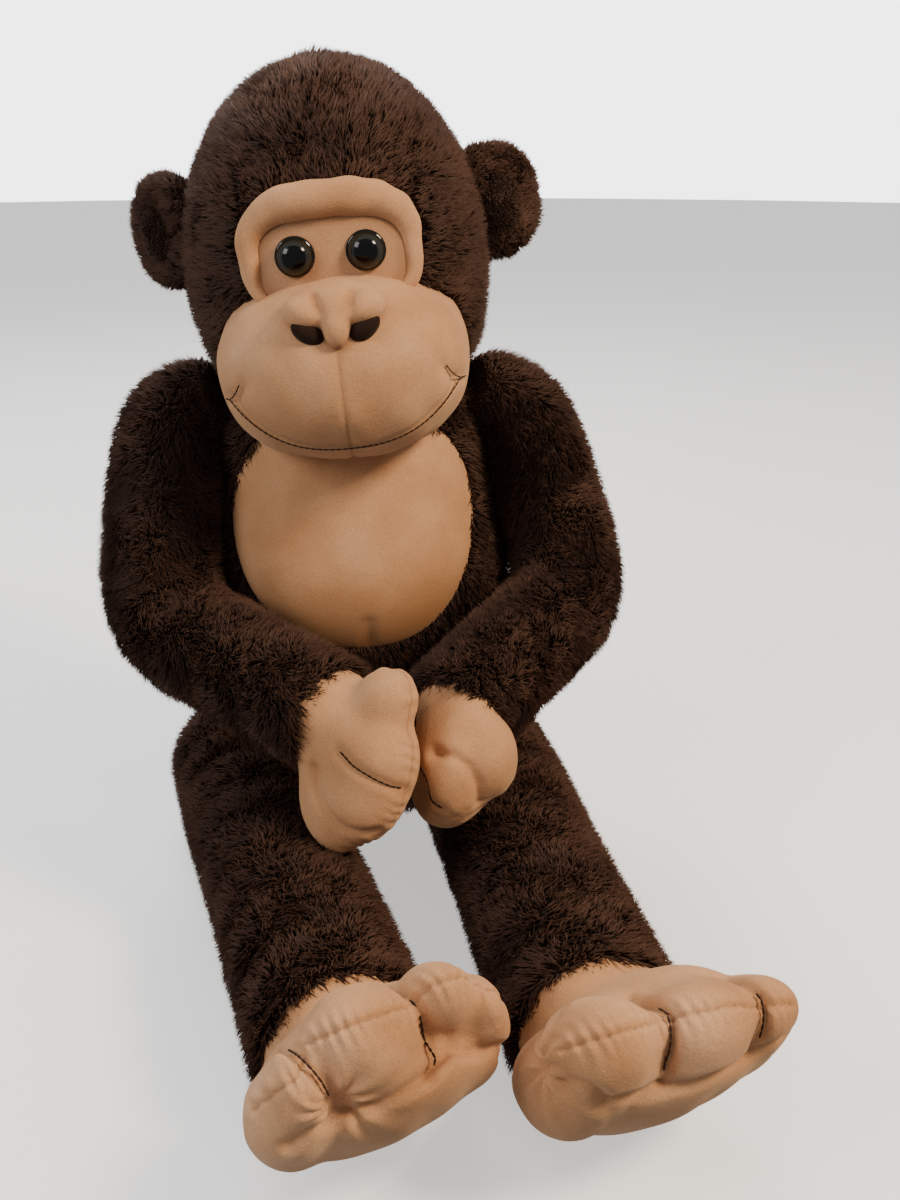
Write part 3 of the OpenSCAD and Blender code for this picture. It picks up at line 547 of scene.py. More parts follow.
def stuffed(name, points, quads, fans, seams, net=3.6):
    """A cover blown up from inside: an even net, Cloth with pressure, a capped move, one subdivision."""
    cover = put_mesh(name, points, quads, fans)
    weave = cover.modifiers.new("weave", "REMESH")
    weave.mode, weave.voxel_size = "VOXEL", net * MM
    settle(cover)
    before = points_of(cover)
    near = np.min([distance_to(before, seam) for seam in seams], axis=0) < 0.8 * net
    cover.vertex_groups.new(name="sewn").add(np.flatnonzero(near).tolist(), 1.0, "REPLACE")
    cloth = cover.modifiers.new("cloth", "CLOTH")
    cloth.settings.use_pressure = True
    cloth.settings.uniform_pressure_force = PRESSURE
    cloth.settings.vertex_group_mass = "sewn"
    cloth.settings.effector_weights.gravity = 0
    for moment in range(1, CLOTH_FRAMES + 1):
        bpy.context.scene.frame_set(moment)
    settle(cover)
    bpy.context.scene.frame_set(1)
    move = points_of(cover) - before
    move *= np.minimum(1, MOST_SWELL / np.maximum(np.linalg.norm(move, axis=1, keepdims=True), 1e-6))
    print(name, "swelled by", np.round(np.linalg.norm(move, axis=1).mean(), 2), "mm on average")
    cover.data.vertices.foreach_set("co", in_metres(before + move))
    smooth = cover.modifiers.new("smooth", "SUBSURF")
    smooth.levels = smooth.render_levels = 1
    settle(cover)
    cover.data.polygons.foreach_set("use_smooth", np.ones(len(cover.data.polygons), bool))
    return cover


def dress(cover, points, crease):
    """Put a cover's moved points back, with its marks of seams and painted shade."""
    cover.data.vertices.foreach_set("co", in_metres(points))
    layer = cover.data.attributes.new("crease", "FLOAT", "POINT")
    layer.data.foreach_set("value", np.clip(crease, 0, 1).astype(np.float32))
    cover.data.update()
    print(cover.name, len(cover.data.vertices), "points")


# %% [markdown]
# ## Eggs
#
# The muzzle and the ears are single eggs, a little squared off. The nose, the hands and the feet are
# lumps that run into each other: wings and a ridge, fingers and a thumb, or toes and a heel. Each lump
# is an egg. A point is inside the union where the eggs' fields, each falling off with the distance in
# units of the egg's own radii, add up to more than 1. Rays from the middle find that skin by halving.
# Blender's metaballs run together in the same way, but here the same rays also find where a seam lies
# on the skin.


# %% Egg tools
EGG_POWER = 2 / 0.9
EAR_POWER = 2 / 0.85
forward, upright = [0, -1, 0], [0, 0, 1]


def polar_rays(rings, sides, pole):
    """Directions on rings round a pole: cos v times the pole and sin v times a turn about it from X."""
    pole, side = np.asarray(pole, float), np.array([1.0, 0, 0])
    v = np.linspace(0.012, np.pi - 0.012, rings)[:, None, None]
    a = round_turn(sides)[:, None]
    return np.cos(v) * pole + np.sin(v) * (side * np.cos(a) + np.cross(pole, side) * np.sin(a))


def egg_share(points, half, e):
    """How far out points lie in an egg: the root e of the sum of their shares to the power e."""
    return (np.abs(points / half) ** e).sum(-1, keepdims=True) ** (1 / e)


def egg_field(points, eggs, sharp):
    """The sum over the eggs of exp(sharp (1 - q)), with q the distance from an egg's middle in its radii."""
    total = np.zeros(points.shape[:-1])
    for middle, radii, *turn in eggs:
        from_middle = points - np.array(middle)
        if turn:
            from_middle = from_middle @ turn[0]
        total += np.exp(sharp * (1 - np.linalg.norm(from_middle / np.array(radii), axis=-1)))
    return total


def egg_union(origin, eggs, sharp, rays, far):
    """The grid of points where rays from origin leave the union, found by halving the reach 24 times."""
    inner, outer = np.zeros(rays.shape[:-1]), np.full(rays.shape[:-1], float(far))
    for _ in range(24):
        reach = (inner + outer) / 2
        inside = egg_field(origin + rays * reach[..., None], eggs, sharp) > 1
        inner, outer = np.where(inside, reach, inner), np.where(inside, outer, reach)
    return origin + rays * inner[..., None]


# %% [markdown]
# ## Body
#
# The torso and the head are stacked forms: each height has an oval, and a table of rows gives its half
# width, its half depth and how far it is shifted back. A sculpted form could match as well, but a table
# can be asked where its front is, which the face and the belly need. The woven backing lies a little
# inside the solid, so that the pile ends about where the solid does.


# %% Stacked forms
def oval_at(form, t, grow):
    """Half width, half depth and shift of a stacked form at a share t of its height."""
    rows, size = form
    half_w, half_d = (row_curve(rows, t, k + 1) * size[k] / 2 + grow for k in range(2))
    return half_w, half_d, row_curve(rows, t, 3) * size[1] / 2


def stacked(form, grow, shares, sides, least=1):
    """Rings of a stacked form: x = half width cos a, y = shift + half depth sin a, z = share of height."""
    t, a = np.asarray(shares)[:, None], round_turn(sides)
    half_w, half_d, shift = oval_at(form, t, grow)
    x = np.maximum(least, half_w) * np.cos(a)
    y = shift + np.maximum(least, half_d) * np.sin(a)
    return np.stack([x, y, np.broadcast_to(t * form[1][2], x.shape)], -1)


def depth_in(points, form):
    """How far out a point lies in a stacked form: 1 on its skin, less inside, and 9 above and below it."""
    t = points[..., 2] / form[1][2]
    half_w, half_d, shift = oval_at(form, t, 0)
    depth = np.hypot(points[..., 0] / half_w, (points[..., 1] - shift) / half_d)
    return np.where((t > 0) & (t < 1), depth, 9.0)


def on_front(form, x, z, out):
    """Points on the front of a stacked form at x and z, lifted by out."""
    half_w, half_d, shift = oval_at(form, np.clip(z / form[1][2], 0, 1), out)
    return np.stack([x, shift - half_d * np.sqrt(np.maximum(0, 1 - (x / half_w) ** 2)), z], -1)


def spun(profile, sides):
    """Rings of a turned form: each row of radius and height spun round Z."""
    a, r = round_turn(sides), profile[:, :1]
    heights = np.broadcast_to(profile[:, 1:], (len(profile), sides))
    return np.stack([r * np.cos(a), r * np.sin(a), heights], -1)


# %% Torso
torso_rows = [
    [0, 0.76, 0.64, 0.15],
    [0.1, 0.9, 0.82, 0.1],
    [0.25, 0.98, 0.94, 0.05],
    [0.45, 1, 1, -0.03],
    [0.62, 0.99, 0.95, -0.03],
    [0.78, 0.94, 0.8, 0],
    [0.88, 0.9, 0.67, 0.01],
    [0.95, 0.8, 0.56, 0.02],
    [1, 0.6, 0.45, 0.03],
]
torso_form = torso_rows, np.array([236.0, 222.0, 366.0])
torso_high = torso_form[1][2]
backing_in = -4.0
neck_plug = np.array([[46.0, 366.5], [44.0, 372.0], [40.0, 384.0]])
torso_rings = stacked(torso_form, backing_in, np.linspace(0, 1, 110), 140)
torso_grid = np.concatenate([torso_rings, spun(neck_plug, 140)])
plump_high, plump_left = bell(torso_grid[..., 2] - 205, 55), ease(torso_grid[..., 0] / 60 - 0.6)
torso_grid[..., 0] += 9.0 * plump_high * plump_left
torso_points, torso_quads, torso_fans = skin(torso_grid)
torso = put_mesh("torso_backing", torso_points, torso_quads, torso_fans, crease=0)
hand_over(torso, "torso", ["torso_cover", "torso_fill"], backing)

# %% [markdown]
# The belly panel is a rounded oval of tan plush, let into the front of the torso. On a polar grid,
# share 0 is its middle and share 1 its seam, where the panel dives under the pile. It swells between
# its seams, as stuffed cloth does, and a short dart runs up from its lowest point. A formula is enough
# here, because the panel has no folds.


# %% Panels
def power(v, e):
    """A power that keeps its sign."""
    return np.sign(v) * np.abs(v) ** e


def patch(middle, half, squareness, share, sides):
    """x and z of a rounded oval on a polar grid: share times half size times powers of cos and sin."""
    a = round_turn(sides)
    x = middle[0] + half[0] * share[:, None] * power(np.cos(a), squareness)
    z = middle[1] + half[1] * share[:, None] * power(np.sin(a), squareness)
    return x, z


def patch_share(points, middle, half, squareness):
    """How far out points lie in a rounded oval: their shares of x and z, to two over squareness, added."""
    x, z = points[:, 0] - middle[0], points[:, 2] - middle[1]
    return np.abs(x / half[0]) ** (2 / squareness) + np.abs(z / half[1]) ** (2 / squareness)


def panel_skin(form, x, z, out, swell, sunk=-5.0):
    """A closed panel on the front of a form: its face lifted by out and swelled, its back sunk in."""
    face = on_front(form, x, z, out)
    face[..., 1] -= swell
    return skin(np.concatenate([face, on_front(form, x, z, sunk)[::-1]]))


# %% Belly panel
belly = dict(middle=(0.0, 0.725 * torso_high), half=np.array([93.0, 88.0]), squareness=0.9)
share = np.concatenate([np.linspace(0.015, 0.94, 46), np.linspace(0.955, 1, 6)])
x, z = patch(**belly, share=share, sides=150)
swell = 11.5 * np.maximum(0, 1 - share[:, None] ** 2.4) ** 0.6 - 3.2
points, quads, fans = panel_skin(torso_form, x, z, 0.6, swell)
dart = on_front(torso_form, np.array([4.0, 5.0, 4.5]), np.array([176.0, 186.0, 200.0]), 0.6) - [0, 2, 0]
dart_gap = distance_to(points, dart)
points[:, 1] += 3.0 * bell(dart_gap, 5.0) + 0.8 * lumps(points, 70, 3)
# Painted shade: a little over the whole panel, and more towards its bottom and lower sides; the dart line is
# darker too.
under = 0.1 + 0.8 * ease((242 - points[:, 2] + 0.0012 * points[:, 0] ** 2) / 64)
marks = np.clip(under + 0.5 * bell(dart_gap, 1.6), 0, 1)
belly_panel = put_mesh("belly_panel_plush", points, quads, fans, crease=marks)
hand_over(belly_panel, "torso", ["belly_panel"], tan_plush)

# %% [markdown]
# ## Head
#
# The head is built upright, with its own middle line on Z and its base at zero, and then turned and
# tilted into place, the way the toy's head lolls. `on_head` does that for every piece of the face. The
# turn goes into the points and not into the object, because a finished piece sits at the origin.

# %% Head
head_rows = [
    [0, 0.5, 0.5, 0],
    [0.1, 0.8, 0.78, 0],
    [0.22, 0.94, 0.92, 0],
    [0.42, 1, 1, 0],
    [0.62, 0.95, 0.96, 0.02],
    [0.8, 0.77, 0.79, 0.04],
    [0.9, 0.57, 0.6, 0.05],
    [0.96, 0.37, 0.39, 0.05],
    [1, 0.06, 0.06, 0.05],
]
head_form = head_rows, np.array([226.0, 210.0, 254.0])
head_wide, _, head_high = head_form[1]
head_turn = turned([0, 0, 1], -5) @ turned([0, 1, 0], -5)
head_at = np.array([5.0, 0.0, 343.54])


def on_head(points):
    """From the head's own upright frame to the toy's."""
    return points @ head_turn.T + head_at


def off_head(points):
    """From the toy's frame to the head's own."""
    return (points - head_at) @ head_turn


head_shares = 1 - (1 - np.linspace(0.05, 1, 110)) ** 1.3
head_points, head_quads, head_fans = skin(stacked(head_form, backing_in, head_shares, 150))
head = put_mesh("head_backing", on_head(head_points), head_quads, head_fans, crease=0)
hand_over(head, "head", ["head_cover", "head_fill"], backing)

# %% [markdown]
# ## Muzzle
#
# The muzzle is a rounded egg that stands out of the lower face. A ray from its middle leaves it where
# the sum of the shares, each raised to the same power, is 1. Three seams shape it: one down the middle,
# the mouth line, and a hooked dimple at either end of the mouth, where the thread pulls the cloth in.
# Cloth gives it the fullness between its seams that a plain egg lacks.

# %% Muzzle form
muzzle_at, muzzle_half = np.array([0.0, -63.0, 44.45]), np.array([94.0, 104.0, 71.0])


def on_muzzle(x, z, out):
    """Points on the front of the muzzle at x and z, lifted by out."""
    half = muzzle_half + out
    used = np.abs(x / half[0]) ** EGG_POWER + np.abs((z - muzzle_at[2]) / half[2]) ** EGG_POWER
    return np.stack([x, muzzle_at[1] - half[1] * np.maximum(0, 1 - used) ** (1 / EGG_POWER), z], -1)


def mouth_path(out):
    """The mouth line: it rises by a power of the distance from the middle."""
    u = np.linspace(-1, 1, 81)
    return on_muzzle(81 * u, 37.0 * np.abs(u) ** 2.6 - 4.0, out)


def hook_path(side, out):
    """The small arc that closes the mouth line at one end."""
    a = np.linspace(-1.0, 1.0, 13)
    return on_muzzle(side * (79 - 7 * a), 35.0 + 3.0 * a * a + 7.0 * a, out)


# The nose is planned here already, because painted shade darkens the muzzle round it.
NOSE_SHARP = 9.0
nose_eggs = [
    ((0, -140, 99), (29, 14, 10), turned([1, 0, 0], 40)),
    ((0, -148, 91), (14, 14, 15), turned([1, 0, 0], -28)),
    ((0, -156, 81), (9, 10, 13), turned([1, 0, 0], -20)),
    ((-19, -146.5, 91.5), (16, 15, 11.5), turned([0, 1, 0], 16)),
    ((19, -146.5, 91.5), (16, 15, 11.5), turned([0, 1, 0], -16)),
]
nose_egg_half = 13

# %% Muzzle
swell_room = 2
rays = polar_rays(110, 150, forward)
muzzle_grid = muzzle_at + rays / egg_share(rays, muzzle_half - swell_room, EGG_POWER)
middle_seam = on_muzzle(np.linspace(0.5, 0, 30), np.linspace(80, -24, 30), -swell_room)
muzzle = stuffed("muzzle_plush", *skin(muzzle_grid), [mouth_path(-swell_room), middle_seam])
points, normals = points_of(muzzle), points_of(muzzle, "normal")
mouth_line = mouth_path(0)
mouth_gap = distance_to(points, mouth_line)
seam_gap = np.where((points[:, 1] < -90) & (points[:, 2] < 78), np.abs(points[:, 0]), 99)
below = points[:, 2] < np.interp(points[:, 0], mouth_line[:, 0], mouth_line[:, 2])
sunk = 1.1 * bell(seam_gap, 2.4) + 2.0 * bell(mouth_gap, 3.0)
sunk += sum(press(points, hook_path(side, 0), 3.2, 6.0) for side in SIDES.values())
lip = 1.0 * bell(mouth_gap - 7, 5.0) * below
points = points + normals * (lip - sunk + 1.1 * lumps(points, 85, 11) + 0.5 * lumps(points, 33, 12))[:, None]
nose_field = np.maximum(egg_field(points, nose_eggs, NOSE_SHARP), 1e-30)
from_nose = -np.log(nose_field) / NOSE_SHARP * nose_egg_half
# The middle seam and the mouth line are darker, partly as painted shade in their grooves; painted shade also
# darkens the muzzle round the nose.
marks = 0.42 * bell(seam_gap, 1.2) + 0.4 * bell(mouth_gap, 1.8)
marks += 0.5 * np.exp(-np.maximum(from_nose, 0) / 2.2)
dress(muzzle, on_head(points), marks)
hand_over(muzzle, "head", ["muzzle_cover", "muzzle_fill"], tan_plush)

# %% [markdown]
# ## Stitches
#
# The mouth is drawn in dark thread. A row of stitches is one small capsule repeated at even steps along
# a path: the capsule's points are written once, and one product with every stitch's own three axes
# places them all. An array modifier along a curve could repeat it too, but would bend each stitch.


# %% Stitches
def even_steps(path, step):
    """Points and directions at even lengths along a path."""
    lengths = lengths_along(path)
    spots = np.arange(step / 2, lengths[-1], step)
    place, ahead, behind = (read_between(spots + shift, lengths, path) for shift in (0, 0.2, -0.2))
    return place, unit(ahead - behind)


def stitches(name, body, node, paths, middle, step=4.2, long=4.8, thick=1.3):
    """Capsules along paths on cloth round a middle: rings of radius thick cos v at long sin v."""
    found = [even_steps(path, step) for path in paths]
    place, along = (np.concatenate(part) for part in zip(*found))
    out = unit(flat_on(along, unit(place - middle)))
    v, a = np.linspace(-1.3, 1.3, 5)[:, None], round_turn(6)
    lengthwise, r = np.broadcast_to(np.sin(v) * long / 2, (5, 6)), np.cos(v)
    capsule = np.stack([lengthwise, r * np.cos(a) * thick / 2, r * np.sin(a) * thick / 2], -1)
    shape, quads, fans = skin(capsule)
    frames = np.stack([along, np.cross(along, out), out], 1)
    if np.linalg.det(frames[0]) < 0:
        quads, fans = quads[:, ::-1], fans[:, ::-1]
    points = (place[:, None] + shape @ frames).reshape(-1, 3)
    start = np.arange(len(place))[:, None, None] * len(shape)
    row = put_mesh(name, points, (start + quads).reshape(-1, 4), (start + fans).reshape(-1, 3), crease=0)
    hand_over(row, body, [node], thread_finish)


mouth_lines = [mouth_path(-1.3), hook_path(-1, -2.4), hook_path(1, -2.4)]
stitches(
    "mouth_stitches",
    "head",
    "mouth_stitch",
    [on_head(line) for line in mouth_lines],
    on_head(muzzle_at),
    step=4.4,
    long=5.0,
    thick=1.2,
)

# %% [markdown]
# ## Eye panel and brow
#
# The eyes sit on a flat panel under a padded roll. The roll is an oval carried along an arch: thick
# over the eyes and thin at its ends, which run down to the muzzle. It overhangs the panel, so it throws
# the soft shade under it. A bevelled curve could make the roll, but its ends and its thickness are
# easier to say as formulas.

# %% Eye panel
panel_middle, panel_half, brow_square = np.array([0.0, 118.9]), np.array([49.0, 28.4]), 0.72
share = np.concatenate([np.linspace(0.02, 0.96, 30), [0.985, 1.0]])
x, z = patch(panel_middle, panel_half * 1.06, brow_square, share, 120)
points, quads, fans = panel_skin(head_form, x, z, 3.2, 0)
points[:, 1] += 0.5 * lumps(points, 40, 21)
edge = patch_share(points, panel_middle, panel_half, brow_square)
# Painted shade: the panel darkens towards its edge, under the brow roll and above the muzzle.
panel = put_mesh("eye_panel_plush", on_head(points), quads, fans, crease=0.5 * ease((edge - 0.45) / 0.6))
hand_over(panel, "head", ["eye_panel"], shaded_plush)


# %% Brow
def brow_radius(s):
    """Half the thickness of the roll: thin at the ends, full over the eyes."""
    return 5.2 + 6.6 * np.sin(np.pi * np.clip(s, 0, 1)) ** 2.2


def brow_point(s):
    """The arch: a squared-off half oval that stands outside the panel by the roll's own width."""
    a = np.radians(218 + (-38 - 218) * s)
    out = 1.1 * brow_radius(s) + 1
    x = (panel_half[0] + out) * power(np.cos(a), brow_square)
    z = panel_middle[1] + (panel_half[1] + out) * power(np.sin(a), brow_square)
    return on_front(head_form, x, z, 3.0)


s = np.linspace(0, 1, 120)
path = brow_point(s)
ways = unit(np.gradient(path, axis=0))
sideways = unit(np.cross(ways, forward))
a = round_turn(40)[:, None]
round_end = np.sqrt(np.clip(1 - (2 * s - 1) ** 16, 0.02, 1))
r = (brow_radius(s) * round_end)[:, None, None]
roll = path[:, None] + sideways[:, None] * r * 1.12 * np.cos(a) + np.array(forward) * r * 1.05 * np.sin(a)
points, quads, fans = skin(roll)
normals = normals_of(points, quads, fans)
points = points + normals * (0.7 * lumps(points, 42, 31) + 0.5 * lumps(points, 19, 32))[:, None]
brow = put_mesh("brow_roll_plush", on_head(points), quads, fans, crease=0)
hand_over(brow, "head", ["brow_roll"], tan_plush)

# %% [markdown]
# ## Nose
#
# The nose is a soft bridge, two wings and a ridge that ends in a tip. Two dark inserts lie under the
# wings. A crease runs between the ridge and each wing, pressed in along a line of five points.

# %% Nose
nose_middle = np.array([0.0, -144.0, 92.0])
points, quads, fans = skin(egg_union(nose_middle, nose_eggs, NOSE_SHARP, polar_rays(70, 110, forward), 60))
normals = normals_of(points, quads, fans)
wing_line = np.array(
    [[13.0, -149, 103], [10.5, -160, 96], [9.5, -165, 89], [11.0, -163, 82], [15.0, -157, 77]]
)
wing_gap = np.minimum(distance_to(points, wing_line), distance_to(points, wing_line * [-1, 1, 1]))
out_of_muzzle = (egg_share(points - muzzle_at, muzzle_half, EGG_POWER)[:, 0] - 1) * 90
points = points + normals * (0.4 * lumps(points, 22, 41) - 2.4 * bell(wing_gap, 2.8))[:, None]
# Painted shade: darker in the crease by each wing and low on the nose, where it meets the muzzle.
marks = 0.35 * bell(wing_gap, 2.2) + 0.55 * np.exp(-np.maximum(out_of_muzzle, 0) / 2.5)
nose = put_mesh("nose_plush", on_head(points), quads, fans, crease=np.clip(marks, 0, 1))
hand_over(nose, "head", ["nose"], tan_plush)

# %% Nostrils
nostril_half = np.array([12.5, 7.5, 7.5])
rays = polar_rays(16, 28, forward)
halves = []
for side in SIDES.values():
    reach = 1 / egg_share(rays @ turned([0, 1, 0], -side * 36), nostril_half, 2)
    halves.append(skin(np.array([side * 19.0, -153.5, 79.5]) + rays * reach))
shift = len(halves[0][0])
nostrils = put_mesh(
    "nostril_inserts",
    on_head(np.concatenate([half[0] for half in halves])),
    np.concatenate([half[1] + k * shift for k, half in enumerate(halves)]),
    np.concatenate([half[2] + k * shift for k, half in enumerate(halves)]),
    crease=0,
)
hand_over(nostrils, "head", ["nostrils"], dark_plush)

# %% [markdown]
# ## Eyes
#
# A safety eye is turned plastic: a profile of radius and height, spun round. Its colour comes in rings,
# painted under a clear dome, so an attribute holds each point's radius and a ramp turns it into rim,
# iris and pupil. A washer locks each eye from inside. It is never seen, so the solid's own mesh stays
# and only gets a finish.

# %% Eye finish
eye_finish, tree, shader = material_with("eye plastic")
eye_rings = [
    (0.0, (0.001, 0.001, 0.0015)),
    (0.57, (0.0015, 0.0015, 0.002)),
    (0.62, (0.026, 0.028, 0.024)),
    (0.8, (0.020, 0.022, 0.018)),
    (0.83, (0.007, 0.008, 0.006)),
    (1.0, (0.006, 0.0065, 0.005)),
]
rings = ramp_node(tree, attribute_node(tree, "ring"), eye_rings)
speckle = ramp_node(tree, noise_node(tree, 900, 2), [(0.3, (0.85, 0.85, 0.85)), (0.7, (1.1, 1.1, 1.1))])
painted = mix_node(tree, "MULTIPLY", 1.0, rings, speckle)
feed(shader, {"Base Color": painted, "Roughness": 0.09, "Specular IOR Level": 0.3})
washer_finish, tree, shader = material_with("washer plastic")
cloudy = ramp_node(tree, noise_node(tree, 160, 3), [(0.3, (0.72, 0.71, 0.68)), (0.7, (0.82, 0.81, 0.78))])
feed(shader, {"Base Color": cloudy, "Roughness": 0.4})
print("plastic in", [m.name for m in (eye_finish, washer_finish)])

# %% Eyes
eye_level, eye_x, eye_r = 0.492 * head_high, 24.5, 14
shank = [[3.5, -20.0], [3.5, -1.2]]
rim = [[13.2, -1.2], [13.9, -0.4], [14.0, 0.8], [13.9, 1.8], [13.5, 2.5], [12.9, 2.9], [12.4, 3.2]]
dome_a = np.radians(np.linspace(8, 88, 26))
dome = np.stack([12.2 * np.cos(dome_a), 2.4 + 9.6 * np.sin(dome_a)], -1)
profile = np.concatenate([shank, rim, dome])
facing = spun(profile, 64)[..., [0, 2, 1]] * [1, -1, 1]
ring = np.concatenate([np.repeat(profile[:, 0] / eye_r, 64), [0.2, 0.0]])
for word, side in SIDES.items():
    seat = on_front(head_form, eye_x, eye_level, 0) * [side, 1, 1] - [0, 3.8, 0]
    points, quads, fans = skin(seat + facing)
    eye = put_mesh(f"{word}_safety_eye", on_head(points), quads, fans, ring=ring)
    hand_over(eye, "head", [f"eye_{word}"], eye_finish)
washers = frame["nodes"]["eye_washers"].data
washers.materials.clear()
washers.materials.append(washer_finish)

# %% [markdown]
# ## Ears
#
# An ear is a flat egg of pile with a dark, short-piled lining let into its front. The lining is an egg
# of its own, sunk into a dish, so that the two plushes meet at a clean edge. The right ear is folded
# back further.

# %% Ears
ear_half, lining_half = np.array([36.0, 14.0, 42.0]), np.array([15.0, 6.0, 20.0])
ear_middle = np.array([head_wide / 2 + 46 - ear_half[0], 6.0, 0.56 * head_high])
ear_back = {"right": 40, "left": 18}
dish_deep = np.array([0, 4.0, 0])
rays = polar_rays(60, 80, upright)
ear_form = rays / egg_share(rays, ear_half - 3, EAR_POWER)
lining_form = rays / egg_share(rays, lining_half, EGG_POWER)
ear_fur = []
for word, side in SIDES.items():
    turn = turned([0, 0, 1], side * ear_back[word])
    middle = ear_middle * [side, 1, 1]
    dish = np.array([side * 3.0, -14.0, -2.0])
    points, quads, fans = skin(middle + ear_form @ turn.T)
    near = np.linalg.norm(((points - middle) @ turn - dish) / (lining_half * [1.15, 1.6, 1.15]), axis=1)
    points = points + (turn @ dish_deep) * np.exp(-(near**4))[:, None]
    ear = put_mesh(f"{word}_ear_backing", on_head(points), quads, fans, crease=0)
    hand_over(ear, "head", [f"ear_{word}"], backing)
    ear_fur.append((f"{word}_ear_pile", points, quads, 16000, 9.0, 0.0))
    points, quads, fans = skin(middle + turn @ (dish + dish_deep) + lining_form @ turn.T)
    lining = put_mesh(f"{word}_ear_lining_plush", on_head(points), quads, fans, crease=0)
    hand_over(lining, "head", [f"ear_lining_{word}"], dark_plush)
    # The lining's pile is 0.42 lower in tone: painted shade in the hollow of the ear.
    ear_fur.append((f"{word}_ear_lining_pile", points, quads, 2200, 3.5, 0.42))

# %% [markdown]
# ## Room to move
#
# Where a neighbour arrives at the end of its travel, the softer piece gives way, as plush does. The
# neighbour is round enough that one ray from its middle meets its skin once, so a point's gap is its
# distance from the middle less that reach. The push is worked out once, for the pose where the two
# meet, and kept in the shape.


# %% Room to move
def give_way(points, middle, reach, room, soft=2.5):
    """Points pushed away from a middle until they clear the form round it, and the gap there was before.

    The push is soft times log(1 + exp((room - gap) / soft)): the missing room near the form, and nothing far
    away.
    """
    way = unit(points - middle)
    gap = np.linalg.norm(points - middle, axis=-1) - reach(way)
    return points + way * (soft * np.logaddexp(0, (room - gap) / soft))[:, None], gap


def off_muzzle(points, angle, room=3.0):
    """Points that give way to the muzzle with the neck at an angle, and how much room each then has."""
    neck = turned([0, 0, 1], angle)

    def reach(way):
        return 1 / egg_share(way, muzzle_half + 1.5, EGG_POWER)[:, 0]

    moved, gap = give_way(off_head(points @ neck), muzzle_at, reach, room)
    return on_head(moved) @ neck.T, np.maximum(gap, room)


def lifted(points, joint):
    """Points turned about a joint to the upper end of its range."""
    return (points - joint_at[joint]) @ turned(joint_axis[joint], joint_range[joint][1]).T + joint_at[joint]


# %% [markdown]
# ## Sleeves and legs
#
# Each arm is one sleeve from the shoulder to the cuff, and each leg one tube from the hip to the ankle.
# A profile of radii is carried along a path that rounds the elbow. Two stiff tubes would show a gap at
# the bend.


# %% Limb tools
def limb_path(corners, bends, step=5.0):
    """A path by way of corners, each inner one rounded by a parabola within its bend, at even steps."""
    s = np.linspace(0, 1, 12)[:, None]
    pieces = [corners[0][None]]
    for before, corner, after, bend in zip(corners, corners[1:], corners[2:], bends):
        enter, leave = corner - unit(corner - before) * bend, corner + unit(after - corner) * bend
        pieces.append(enter * (1 - s) ** 2 + 2 * corner * s * (1 - s) + leave * s**2)
    rough = np.concatenate([*pieces, corners[-1][None]])
    far = lengths_along(rough)
    even = np.linspace(0, far[-1], int(far[-1] / step))
    return read_between(even, far, rough), even / far[-1]


def limb_grid(path, plane, radius, sides):
    """Rings along a path, with a half ball before its start and an end that is tucked in.

    Each ring is path + radius (cos a times the normal in the plane + sin a times the plane's own normal).
    """
    ways = unit(np.gradient(path, axis=0))
    back = np.radians(np.linspace(84, 6, 12))
    tuck_in = np.array([[1.5, 0.985], [3.0, 0.93], [2.5, 0.84], [0.0, 0.74], [-6.0, 0.66]])
    start = path[0] - ways[0] * radius[0] * np.sin(back)[:, None]
    end = path[-1] + ways[-1] * tuck_in[:, :1]
    middle = np.concatenate([start, path, end])
    ways = np.concatenate([np.repeat(ways[:1], len(back), 0), ways, np.repeat(ways[-1:], len(tuck_in), 0)])
    sizes = np.concatenate([radius[0] * np.cos(back), radius, radius[-1] * tuck_in[:, 1]])
    a = round_turn(sides)[:, None]
    across = unit(np.cross(plane, ways))
    ring = across[:, None] * np.cos(a) + np.cross(ways, across)[:, None] * np.sin(a)
    return middle[:, None] + ring * sizes[:, None, None], ways


limb_fur = []


def sew_limb(name, points, quads, fans, ways, corners, reach, parts):
    """A limb's backing in place with its finish. The two bodies and the span round its middle corner are
    listed but not used.
    """
    word = name.split("_")[0]
    bodies = [f"{part}_{word}" for part in parts]
    a, b, c = corners
    bend = dict(start=(b - unit(b - a) * reach) * MM, end=(b + unit(c - b) * reach) * MM)
    limb = put_mesh(f"{name}_backing", points, quads, fans, crease=0)
    limb.data.materials.append(backing)
    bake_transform(limb)
    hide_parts(*[f"{part}{layer}_{word}" for part in parts for layer in ("", "_fill")])
    limb_fur.append((name, points, quads, ways, bodies, bend))


# %% Sleeves
limb_in = -5.0
cuff_past = {"right": 2.0, "left": 14.0}
neck_end = dict(zip(SIDES, joint_range["neck_turn"]))
sleeve_radii = [0, 0.1, 0.22, 0.5, 0.7, 0.92, 1], [33.0, 39.0, 43.5, 43.5, 41.5, 40.0, 39.5]
for word in SIDES:
    a, b, c = (joint_at[f"{name}_{word}"] for name in ("shoulder_raise", "elbow_open", "wrist_lift"))
    collar = a + np.array([-26.0 * np.sign(a[0]), 0, 9.0])
    path, t = limb_path([collar, a, b, c + unit(c - b) * cuff_past[word]], [24, 52])
    grid, ways = limb_grid(path, np.cross(b - a, c - b), np.interp(t, *sleeve_radii) + limb_in, 72)
    points, quads, fans = skin(grid)
    points = off_muzzle(points, neck_end[word])[0]
    sew_limb(f"{word}_sleeve", points, quads, fans, ways, (a, b, c), 48, ("upper_arm", "forearm"))

